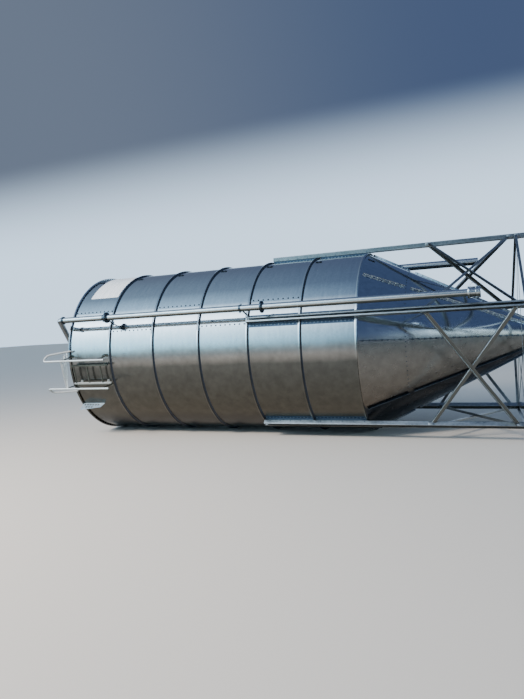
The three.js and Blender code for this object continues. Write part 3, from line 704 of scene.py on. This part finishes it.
def make_hopper():
    """The cone's two courses of sheets, the flanges that stand out along its seams, and their bolts."""
    top = ring_x(RINGS) + GAP / 2
    outlet_x = cone_x(OUTLET["radius"])
    courses = {
        "upper": bent([(top + SHEET + LIP, FLANGE_R - SHEET - LIP_DROP), (top + SHEET, FLANGE_R - SHEET),
                       (top + SHEET, SHELL_R), (HOPPER_JOINT_X, cone_r(HOPPER_JOINT_X))], FOLD, flat=FLAT),
        "lower": [(HOPPER_JOINT_X - 40, cone_r(HOPPER_JOINT_X - 40) + SHEET + 0.5),
                  (outlet_x, OUTLET["radius"] + SHEET + 0.5)],
    }
    span = 360 / HOPPER_SHEETS
    for course, line in courses.items():
        for k in range(HOPPER_SHEETS):
            bm = bmesh.new()
            spun(bm, line, HOPPER_LAP + span * k, HOPPER_LAP + span * (k + 1))
            thicken(bm, bm.faces[:], SHEET)
            piece(f"hopper_{course}_panel_{k + 1}", bm, CONE_FINISH, "galvanised_sheet",
                  f"hopper_{course}_sheet_{k + 1}")
    seams, low_seams, bolts, dull_heads = bmesh.new(), bmesh.new(), bmesh.new(), bmesh.new()
    for k in range(2 * HOPPER_SHEETS):
        angle = HOPPER_LAP + span / 2 * k
        # Seams and bolts on the hopper's lower side take darker copies of their finishes: painted shade
        heads, flanges = (bolts, seams) if 10 < angle < 180 else (dull_heads, low_seams)
        out = cone_out(angle)
        for from_x, to_x in ((top + SEAM["end"], HOPPER_JOINT_X - SEAM["end"]),
                             (HOPPER_JOINT_X + SEAM["end"], outlet_x - SEAM["end"])):
            a, b = (at(x, cone_r(x), angle) + out * SEAM["high"] / 2 * MM for x in (from_x, to_x))
            side = out.cross((b - a).normalized())
            for sign in (-1, 1):
                shift = side * sign * 3 * MM
                bar(flanges, a + shift, b + shift, SEAM["high"], 4, side, 1)
            count = round((b - a).length / (SEAM["pitch"] * MM))
            for i in range(count):
                for sign in (-1, 1):
                    bolt(heads, a.lerp(b, (i + 0.5) / count) + side * sign * 5 * MM, side * sign, *SEAM_HEAD)
    count = 2 * HOPPER_SHEETS * 12
    for i in range(count):
        angle = HOPPER_LAP + 360 / count * (i + 0.5)
        x = HOPPER_JOINT_X - 20
        bolt(dull_heads, at(x, cone_r(x) + SHEET, angle), cone_out(angle), 7, 3)
    piece("hopper_seam_flanges", seams, SEAM_FINISH, "galvanised_sheet")
    piece("hopper_lower_seam_flanges", low_seams, SHADED_SEAM_FINISH, "galvanised_sheet")
    piece("hopper_bolts", bolts, BOLT_FINISH, "galvanised_sheet")
    piece("hopper_lower_bolts", dull_heads, DULL_BOLT_FINISH, "galvanised_sheet")


def make_outlet():
    """Outlet neck with its flange and bolts."""
    outlet_x = cone_x(OUTLET["radius"]) + GAP
    rim = outlet_x + OUTLET["height"]
    neck = OUTLET["radius"]
    bm = bmesh.new()
    edge = neck + OUTLET["flange"]
    inner = neck - 5
    under = rim - OUTLET["thick"]
    line = [(outlet_x, inner), (outlet_x, neck), (under, neck), (under, edge), (rim, edge), (rim, inner),
            (outlet_x, inner)]
    spun(bm, line, 0, 360, 6)
    for i in range(12):
        bolt(bm, at(under, neck + 22, 30 * i + 15), -ALONG, *RIM_HEAD)
    piece("outlet_neck", bm, SECTION_FINISH, "galvanised_sheet", "outlet_collar", crease=40)


# Legs and bracing


def make_leg(k):
    """Lipped channel, its foot plate, and the angle strips that bolt it to the two lowest rings."""
    angle = leg_angle(k)
    out = outward(angle)
    half = LEG_WIDE / 2
    bm = bmesh.new()
    a, b = at(LEG_TOP_X, 0, angle), at(LEG_FOOT_X, 0, angle)
    section(bm, [(LEG_LIP - half, LEG_OUT_R), (-half, LEG_OUT_R), (-half, LEG_IN_R), (half, LEG_IN_R),
                 (half, LEG_OUT_R), (half - LEG_LIP, LEG_OUT_R)], a, b, out, LEG_STEEL, 7)
    side = out.cross(ALONG)
    middle = at(LEG_FOOT_X, (LEG_IN_R + LEG_OUT_R) / 2, angle)
    sole = middle + ALONG * FOOT_PLATE["along"] * MM
    bar(bm, middle, sole, FOOT_PLATE["wide"], FOOT_PLATE["deep"], out, 3)
    for sign in (-1, 1):
        for far in (-1, 1):
            place = middle + (side * sign * ANCHOR["side"] + out * far * ANCHOR["out"]) * MM
            bolt(bm, place, -ALONG, *ANCHOR_HEAD)
        gusset = middle + side * sign * (half + GUSSET["wide"] / 2) * MM
        bar(bm, gusset - ALONG * GUSSET["high"] * MM, gusset, GUSSET["wide"], GUSSET["thick"],
            side.cross(ALONG), 1)
    piece(f"leg_channel_{k + 1}", bm, SECTION_FINISH, "galvanised_section", f"leg_{k + 1}")
    strips, bolts = bmesh.new(), bmesh.new()
    for ring in (RINGS - 2, RINGS - 1):
        x0, x1 = ring_x(ring) + 20, ring_x(ring + 1) - 20
        for sign in (-1, 1):
            foot = SHELL_R + 3.5
            line = [(sign * (half + STRIP_FOOT), foot - 2), (sign * half, foot),
                    (sign * half, LEG_IN_R + 40)]
            section(strips, line[::sign], at(x0, 0, angle), at(x1, 0, angle), out, -4, 5)
            for i in range(STRIP_BOLTS):
                x = x0 + (x1 - x0) * (i + 0.5) / STRIP_BOLTS
                place = at(x, foot + 1, angle) + side * sign * (half + STRIP_FOOT * 0.55) * MM
                bolt(bolts, place, out, *FRAME_HEAD)
                if i % 3 == 1:
                    place = at(x, LEG_IN_R + 20, angle) + side * sign * (half + 4) * MM
                    bolt(bolts, place, side * sign, *SMALL_HEAD)
    piece(f"leg_strips_{k + 1}", strips, STRIP_FINISH, "galvanised_section")
    piece(f"leg_bolts_{k + 1}", bolts, SATIN_BOLT_FINISH, "galvanised_section")


def make_braces(k):
    """Two crossed angle sections on the face between two legs, bolted to a tab at each end."""
    following = k + 1
    out = outward(leg_angle(k) + 180 / LEGS)
    high_x, low_x = BRACE_X
    bm = bmesh.new()
    for x0, x1, layer in ((low_x, high_x, 1), (high_x, low_x, -1)):
        a, b = at(x0, BRACE_R, leg_angle(k)), at(x1, BRACE_R, leg_angle(following))
        along = (b - a).normalized()
        a, b = a + along * BRACE_ARM["trim"] * MM, b - along * BRACE_ARM["trim"] * MM
        half = BRACE_WIDE / 2
        line = [(-half, layer * 3), (half, layer * 3), (half, layer * (3 + BRACE_ARM["reach"]))]
        section(bm, line, a, b, out, BRACE_ARM["thick"] * layer, 5)
        for place in (a.lerp(b, 0.015), b.lerp(a, 0.015), a.lerp(b, 0.03), b.lerp(a, 0.03)):
            bolt(bm, place + out * (4 if layer > 0 else -2) * MM, out, *SEAM_HEAD)
    half = LEG_WIDE / 2
    for leg, sign in ((k, 1), (following, -1)):
        for x in BRACE_X:
            angle = leg_angle(leg)
            side = outward(angle).cross(ALONG) * -sign
            middle = at(x, (LEG_IN_R + LEG_OUT_R) / 2, angle) + side * (half + 4) * MM
            reach = ALONG * BRACE_TAB["long"] / 2 * MM
            bar(bm, middle - reach, middle + reach, BRACE_TAB["wide"], BRACE_TAB["thick"], side, 1)
            for shift in (-BRACE_TAB["bolts"], BRACE_TAB["bolts"]):
                bolt(bm, middle + (ALONG * shift + side * 3) * MM, side, *FRAME_HEAD)
    piece(f"braces_{k + 1}", bm, BRACE_FINISH, "galvanised_section", f"crossed_braces_{k + 1}")


def make_ties():
    """Five angle ties between the legs, and a star of flat bars behind them, on tabs bolted to the legs."""
    bm = bmesh.new()
    inner = LEG_IN_R - GAP - BRACE_THICK / 2
    for k in range(LEGS):
        a, b = at(TIE_X, BRACE_R, leg_angle(k)), at(TIE_X, BRACE_R, leg_angle(k + 1))
        along = (b - a).normalized()
        out = outward(leg_angle(k) + 180 / LEGS)
        half, trim = BRACE_WIDE / 2, along * TIE_ARM["trim"] * MM
        section(bm, [(-half, 0), (half, 0), (half, -TIE_ARM["reach"])], a + trim, b - trim, ALONG,
                TIE_ARM["thick"], 5)
        c, d = at(TIE_X, inner, leg_angle(k)), at(TIE_X, inner, leg_angle(k + 2))
        lift = ALONG * (-6 if k % 2 else -12) * MM
        bar(bm, c + lift, d + lift, BRACE_WIDE, 6, ALONG, 1)
        angle = leg_angle(k)
        wide = (LEG_WIDE / 2 + GAP + BRACE_THICK) * 2
        reach = ALONG * TIE_TAB["long"] / 2 * MM
        middle = at(TIE_X, LEG_IN_R - 4, angle)
        bar(bm, middle - reach, middle + reach, wide, BRACE_THICK, outward(angle), 1)
        side = outward(angle).cross(ALONG)
        for sign in (-1, 1):
            wing = at(TIE_X, (LEG_IN_R + LEG_OUT_R) / 2, angle) + side * sign * (LEG_WIDE / 2 + 4) * MM
            bar(bm, wing - reach, wing + reach, TIE_TAB["wide"], TIE_TAB["thick"], side, 1)
            bolt(bm, wing + side * sign * 3 * MM, side * sign, *FRAME_HEAD)
            bolt(bm, c + lift + side * sign * 12 * MM + ALONG * 3 * MM, ALONG, *FRAME_HEAD)
    piece("tie_bars", bm, BRACE_FINISH, "galvanised_section", "tie_frame")


# Pipes


def roof_line(r):
    """Length along the axis of a pipe's centre line that runs clear above the roof."""
    return roof_x(r) - ROOF_CLEAR / math.cos(math.radians(ROOF_SLOPE))


def pipe_flange(bm, spec, x, side):
    """One of the two round flanges of a pipe joint, with its ring of bolts."""
    thick = PIPE_FLANGE["thick"]
    disc(bm, at(x + side * GAP / 2, spec["r"], spec["angle"]), ALONG * side, PIPE_FLANGE["radius"], thick)
    count = PIPE_FLANGE["bolts"]
    for i in range(count):
        turn = Matrix.Rotation(math.radians(360 / count * i + 10), 3, ALONG)
        spoke = turn @ Vector((0, 0, PIPE_FLANGE["bolt_r"])) * MM
        bolt(bm, at(x + side * thick, spec["r"], spec["angle"]) + spoke, ALONG * side, *FLANGE_HEAD)


def make_pipes():
    """The runs of both pipes, their flanges, and the collar where the fill pipe turns over the eave."""
    joint1, joint2 = PIPE_JOINTS
    cap_top = roof_x(ROOF_TOP_R) - GAP - CAP["height"] - GAP
    routes = {
        "fill_pipe_upper_run": (FILL, [(joint1 - GAP / 2, FILL["r"]), (roof_line(FILL["r"]), FILL["r"]),
                                       (roof_line(0), 0), (cap_top, 0)], [(joint1, -1)], "fill_pipe_top"),
        "fill_pipe_middle_run": (FILL, [(joint1 + GAP / 2, FILL["r"]), (joint2 - GAP / 2, FILL["r"])],
                                 [(joint1, 1), (joint2, -1)], "fill_pipe_middle"),
        "fill_pipe_lower_run": (FILL, [(joint2 + GAP / 2, FILL["r"]),
                                       (PIPE_END_X - COUPLING - GAP, FILL["r"])],
                                [(joint2, 1)], "fill_pipe_lower"),
        "vent_pipe_lower_run": (VENT, [(joint1 + GAP / 2, VENT["r"]), (PIPE_END_X, VENT["r"])],
                                [(joint1, 1)], "vent_pipe_lower"),
    }
    slope = math.radians(ROOF_SLOPE)
    turn = (roof_line(VENT["roof_end_r"]), VENT["roof_end_r"])
    drop = ROOF_CLEAR - GAP
    end = (turn[0] + math.cos(slope) * drop, turn[1] - math.sin(slope) * drop)
    routes["vent_pipe_upper_run"] = (VENT, [(joint1 - GAP / 2, VENT["r"]), (roof_line(VENT["r"]), VENT["r"]),
                                            turn, end], [(joint1, -1)], "vent_pipe_top")
    fittings = bmesh.new()
    for name, (spec, line, flanges, node) in routes.items():
        bm = bmesh.new()
        pipe(bm, [at(x, r, spec["angle"]) for x, r in line], spec["radius"], BEND_R)
        thicken(bm, bm.faces[:], spec["wall"] * 0.6)
        piece(name, bm, TUBE_FINISH, "galvanised_tube", node)
        for x, side in flanges:
            pipe_flange(fittings, spec, x, side)
    collar = at(ELBOW_COLLAR["x"], FILL["r"], FILL["angle"])
    for side in (-1, 1):
        disc(fittings, collar, ALONG * side, ELBOW_COLLAR["radius"], ELBOW_COLLAR["half"])
    piece("pipe_flanges", fittings, CLAMP_FINISH, "galvanised_tube")


def make_coupling():
    """Hose coupling: a grooved body, a locking collar, two cam levers and a pull ring."""
    bm = bmesh.new()
    x0, x1 = PIPE_END_X - COUPLING, PIPE_END_X
    centre = at(0, FILL["r"], FILL["angle"]) - EAVE
    line = [(x0, 48), (x0, 82), (x0 + 8, 86), (x0 + 26, 86), (x0 + 34, 66), (x0 + 100, 66), (x0 + 108, 82),
            (x1 - 30, 82), (x1 - 26, 76), (x1 - 18, 76), (x1 - 14, 82), (x1 - 3, 82), (x1, 78), (x1, 48),
            (x0, 48)]
    geometry = wire(bm, [EAVE + centre + Vector((x, 0, r)) * MM for x, r in line])
    bmesh.ops.spin(bm, geom=geometry, cent=EAVE + centre, axis=ALONG, angle=2 * math.pi, steps=40,
                   use_merge=True)
    side = outward(FILL["angle"]).cross(ALONG)
    for sign in (-1, 1):
        root = EAVE + centre + ALONG * (x1 - 40) * MM + side * sign * 78 * MM
        end = root - ALONG * LEVER["long"] * MM + side * sign * 6 * MM
        bar(bm, root, end, *LEVER["section"], side, 2)
        bar(bm, root + ALONG * 20 * MM, root - ALONG * 22 * MM, *LEVER["latch"], side, 3)
    loop = EAVE + centre + ALONG * (x0 + 30) * MM + outward(90) * 86 * MM
    pipe(bm, bent([loop, loop + Vector((10, 0, 40)) * MM, loop + Vector((50, 0, 55)) * MM,
                   loop + Vector((85, 0, 30)) * MM, loop + Vector((80, 0, -10)) * MM], 0.015), 5, SHARP, 8)
    piece("hose_coupling", bm, TUBE_FINISH, "galvanised_tube", "fill_coupling",
          "coupling_collar", "coupling_ring")


def make_bracket(name, spec, x, node):
    """Clamp round a pipe on a flat strut."""
    bm = bmesh.new()
    centre = at(x, spec["r"], spec["angle"])
    out = outward(spec["angle"])
    side = out.cross(ALONG)
    band = spec["radius"] + 1
    geometry = wire(bm, [centre + (ALONG * dx + out * band) * MM for dx in (-CLAMP["half"], CLAMP["half"])])
    bmesh.ops.spin(bm, geom=geometry, cent=centre, axis=-ALONG, angle=2 * math.pi, steps=40, use_merge=True)
    bmesh.ops.recalc_face_normals(bm, faces=bm.faces[:])
    thicken(bm, bm.faces[:], -CLAMP["thick"])
    foot = at(x, SHELL_R + 4, spec["angle"])
    neck = centre - out * (band + 3) * MM
    bar(bm, foot, neck, *CLAMP["strut"], ALONG.cross(out), 1)
    reach = ALONG * CLAMP["pad_half"] * MM
    bar(bm, foot - reach, foot + reach, *CLAMP["pad"], out, 1)
    reach = ALONG * CLAMP["ear_half"] * MM
    for sign in (-1, 1):
        bolt(bm, foot + (side * sign * 28 + out * 3) * MM, out, *SMALL_HEAD)
        ear = centre + side * sign * (band + 14) * MM
        bar(bm, ear - reach, ear + reach, *CLAMP["ear"], side, 1)
    piece(name, bm, CLAMP_FINISH, "galvanised_tube", node)


# Fittings on the top ring


def make_ladder():
    """Two channel rails on struts, and serrated rungs between them."""
    r, x0, x1 = LADDER["r"], LADDER["from"], LADDER["to"]
    upper, lower = LADDER["angles"]
    meshes = {angle: bmesh.new() for angle in (upper, lower)}
    for angle, bm in meshes.items():
        out = outward(angle)
        facing = 1 if angle == upper else -1
        half, deep = LADDER["half"] * facing, LADDER["deep"]
        line = [(half, deep), (-half, deep), (-half, -deep), (half, -deep)]
        section(bm, [(u, v + r) for u, v in line], at(x0, 0, angle), at(x1, 0, angle), out, 3, 4)
        for x in LADDER["feet"]:
            bar(bm, at(x, SHELL_R + 3, angle), at(x, r, angle), *LADDER["strut"], ALONG.cross(out), 1)
            pad = at(x, SHELL_R + 4, angle)
            reach = ALONG * LADDER["pad_half"] * MM
            bar(bm, pad - reach, pad + reach, *LADDER["pad"], out, 1)
            bolt(bm, pad + out.cross(ALONG) * 20 * MM + out * 2 * MM, out, 7, 6)
    # The upper rail and rungs take the darker tube finish and the lower rail the near-white one: painted
    # shade and painted brightness
    piece("ladder_upper_rail", meshes[upper], SHADED_FINISH, "galvanised_tube", "ladder")
    piece("ladder_lower_rail", meshes[lower], RAIL_FINISH, "galvanised_tube")
    bm = bmesh.new()
    for x in LADDER["rungs"]:
        a, b = (at(x, r + 4, angle) for angle in LADDER["angles"])
        rod(bm, a, b, LADDER["rung"], 16)
        for i in range(9):
            rod(bm, a.lerp(b, 0.1 + 0.1 * i), a.lerp(b, 0.115 + 0.1 * i), LADDER["tooth"], 16)
    piece("ladder_rungs", bm, SHADED_FINISH, "galvanised_tube")


def make_guard_rails():
    """Tube rails each side of the ladder, their posts, and a folded gate of thin bars past the eave."""
    bm, dark = bmesh.new(), bmesh.new()
    r, x0, x1 = GUARD["r"], GUARD["from"], GUARD["to"]
    for side, angle in enumerate(GUARD["angles"]):
        near_eave = GUARD["eave"][side]
        shift, drop = GUARD["knee"]
        knee = at(x0 + shift, r + drop, (angle * 0.4 + near_eave * 0.6))
        landing = at(GUARD["landing"], FLANGE_R + 26, near_eave)
        rail = bent([landing, knee, at(x0, r, angle), at(x1, r, angle)], 0.07, 6)
        pipe(bm, rail, GUARD["tube"], SHARP, 14)
        root, tip = (at(GUARD["landing"], r_at, near_eave) for r_at in (SHELL_R + 2, FLANGE_R + 30))
        rod(bm, root, tip, 12, 10)
        for x in GUARD["posts"]:
            foot = at(x, SHELL_R + 2, GUARD["foot"][side])
            rod(dark, foot, at(x, r, angle), GUARD["post"], 12)
            disc(dark, foot, outward(GUARD["foot"][side]), 30, 8, 20)
    lower = GUARD["angles"][1]
    for i, top in enumerate(GUARD["gate"]):
        foot = at(GUARD["rod_foot"] + GUARD["rod_step"] * i, r - 12, lower)
        rod(bm, at(*top), foot, GUARD["rod"], 8)
    hook = [at(x, hook_r, angle) for x, hook_r, angle in GUARD["hook"]]
    pipe(dark, bent(hook, 0.03, 4), 12, SHARP, 10)
    # The rails take the near-white finish, painted brightness; the posts and hook take the darker tube
    # finish, painted shade on the posts
    piece("guard_rail_tubes", bm, RAIL_FINISH, "galvanised_tube", "guard_rails")
    piece("guard_rail_posts", dark, SHADED_FINISH, "galvanised_tube")


def make_step_plate():
    """Perforated standing plate."""
    bm = bmesh.new()
    angle = PLATE["angle"]
    inner = SHELL_R + 2
    corners = [(PLATE["from"], inner), (PLATE["to"], inner), (PLATE["to"] - 40, PLATE["out"][1]),
               (PLATE["from"] + 20, PLATE["out"][0])]
    loop = wire(bm, [Vector((x, r, 0)) * MM for x, r in corners])
    bm.edges.new((verts_of(loop)[-1], verts_of(loop)[0]))
    pitch, hole = PLATE["pitch"], PLATE["hole"]
    near, far = PLATE["out"]
    for x in range(PLATE["from"] + PLATE["margin"], PLATE["to"] - PLATE["margin"], pitch):
        for r in range(inner + 46, near - 20, pitch):
            reach = near + (far - near) * (x - PLATE["slant_from"]) / PLATE["slant_long"]
            if r < reach - hole - PLATE["rim"]:
                bmesh.ops.create_circle(bm, segments=14, radius=hole * MM,
                                        matrix=Matrix.Translation(Vector((x, r, 0)) * MM))
    bmesh.ops.triangle_fill(bm, use_beauty=True, use_dissolve=False, edges=bm.edges[:])
    side = outward(angle).cross(ALONG)
    turn = Matrix((ALONG, outward(angle), side)).transposed().to_4x4()
    bmesh.ops.transform(bm, matrix=Matrix.Translation(EAVE) @ turn, verts=bm.verts[:])
    bmesh.ops.recalc_face_normals(bm, faces=bm.faces[:])
    thicken(bm, bm.faces[:], PLATE["thick"])
    piece("perforated_plate", bm, PLATE_FINISH, "galvanised_sheet", "step_plate")


def make_sign():
    """Bare white sheet over the top ring."""
    bm = bmesh.new()
    spun(bm, [(SIGN["from"], SIGN["r"]), (SIGN["to"], SIGN["r"])], *SIGN["angles"])
    thicken(bm, bm.faces[:], SIGN["thick"])
    piece("sign_panel", bm, LACQUER, "sign_white", "sign_sheet")


# Floor and light


def make_floor():
    """Pale, matt studio floor."""
    bm = bmesh.new()
    bmesh.ops.create_grid(bm, x_segments=1, y_segments=1, size=120)
    mesh = bpy.data.meshes.new("floor")
    bm.to_mesh(mesh)
    bm.free()
    made, _, shader = blank("studio_floor")
    shader.inputs["Base Color"].default_value = srgb("#dcd8d2")
    shader.inputs["Roughness"].default_value = 0.85
    mesh.materials.append(made)
    floor = bpy.data.objects.new("floor", mesh)
    floor.location.z = -0.001
    bpy.context.scene.collection.objects.link(floor)


# Studio surround: tones from the near side's foot over the top to the far side, as (part of the way, colour)
SURROUND = [(0, "#7098a8"), (0.14, "#e0f0ff"), (0.3, "#5c7080"), (0.5, "#3c4854"), (0.9, "#2c323c")]
HOPPER_END = ("#1c2434", -0.65, 0.05)
FAR_FOOT = ("#748494", 0.965, 0.994)
CARD = "#c8e0e8"
CARD_EDGES = [("Z", 0.05, 0.17), ("Z", 0.36, 0.24), ("X", 0.745, 0.82)]
SURROUND_STRENGTH = 6
KEY_BOX = {"place": (-6, -11, 9), "aim": (-0.5, 0, 1.5), "size": 2.4, "energy": 2600, "colour": "#fff1e2"}


def make_light():
    """Plain soft studio surround: one broad white band over the near side, blue-grey overhead, darker past
    the hopper and pale at the far side's foot. One low card stands past the hopper, and a key box lights
    the floor."""
    world = bpy.data.worlds.new("studio")
    bpy.context.scene.world = world
    world.use_nodes = True
    tree = world.node_tree
    way = add(tree, "ShaderNodeTexCoord").outputs["Generated"]
    part = add(tree, "ShaderNodeSeparateXYZ", {"Vector": way}).outputs
    across = add(tree, "ShaderNodeVectorMath", {0: way, 1: (0, 1, 1)}, operation="MULTIPLY")
    round_axis = add(tree, "ShaderNodeVectorMath", {0: across.outputs["Vector"]}, operation="NORMALIZE")
    cosine = add(tree, "ShaderNodeSeparateXYZ", {"Vector": round_axis.outputs["Vector"]}).outputs["Y"]
    turn = add(tree, "ShaderNodeMath", {0: cosine, 1: 0.5, 2: 0.5}, operation="MULTIPLY_ADD").outputs[0]
    tone = add(tree, "ShaderNodeValToRGB", {"Fac": turn}, SURROUND).outputs["Color"]
    for value, (colour, start, end) in ((part["X"], HOPPER_END), (turn, FAR_FOOT)):
        share = add(tree, "ShaderNodeMapRange", {"Value": value, "From Min": start, "From Max": end},
                    interpolation_type="SMOOTHSTEP").outputs["Result"]
        tone = add(tree, "ShaderNodeMix", {"Factor": share, "A": tone, "B": srgb(colour)},
                   data_type="RGBA").outputs["Result"]
    card = 1
    for axis, start, end in CARD_EDGES:
        edge = add(tree, "ShaderNodeMapRange", {"Value": part[axis], "From Min": start, "From Max": end},
                   interpolation_type="SMOOTHSTEP").outputs["Result"]
        card = add(tree, "ShaderNodeMath", {0: card, 1: edge}, operation="MULTIPLY").outputs[0]
    lit = add(tree, "ShaderNodeMix", {"Factor": card, "A": tone, "B": srgb(CARD)}, data_type="RGBA")
    backdrop = tree.nodes["Background"].inputs
    tree.links.new(lit.outputs["Result"], backdrop["Color"])
    backdrop["Strength"].default_value = SURROUND_STRENGTH
    data = bpy.data.lights.new("key_box", "AREA")
    data.size = KEY_BOX["size"]
    data.energy = KEY_BOX["energy"]
    data.color = srgb(KEY_BOX["colour"])[:3]
    lamp = bpy.data.objects.new("key_box", data)
    lamp.location = KEY_BOX["place"]
    lamp.rotation_euler = (lamp.location - Vector(KEY_BOX["aim"])).to_track_quat("Z", "Y").to_euler()
    lamp.visible_camera = False
    lamp.visible_glossy = False
    bpy.context.scene.collection.objects.link(lamp)


make_camera()
for ring in range(RINGS):
    for k in range(SHEETS_PER_RING):
        make_ring_sheet(ring, k)
    make_lap_bolts(ring)
for joint in range(RINGS + 1):
    make_joint_bolts(joint)
for joint in range(1, RINGS):
    make_joint_seal(joint)
make_lugs()
make_roof()
make_hopper()
make_outlet()
for k in range(LEGS):
    make_leg(k)
    make_braces(k)
make_ties()
make_pipes()
make_coupling()
for i, x in enumerate(BRACKETS_X):
    make_bracket(f"fill_pipe_clamp_{i + 1}", FILL, x, f"fill_pipe_bracket_{i + 1}")
    make_bracket(f"vent_pipe_clamp_{i + 1}", VENT, x, f"vent_pipe_bracket_{i + 1}")
make_ladder()
make_guard_rails()
make_step_plate()
make_sign()
make_floor()
make_light()
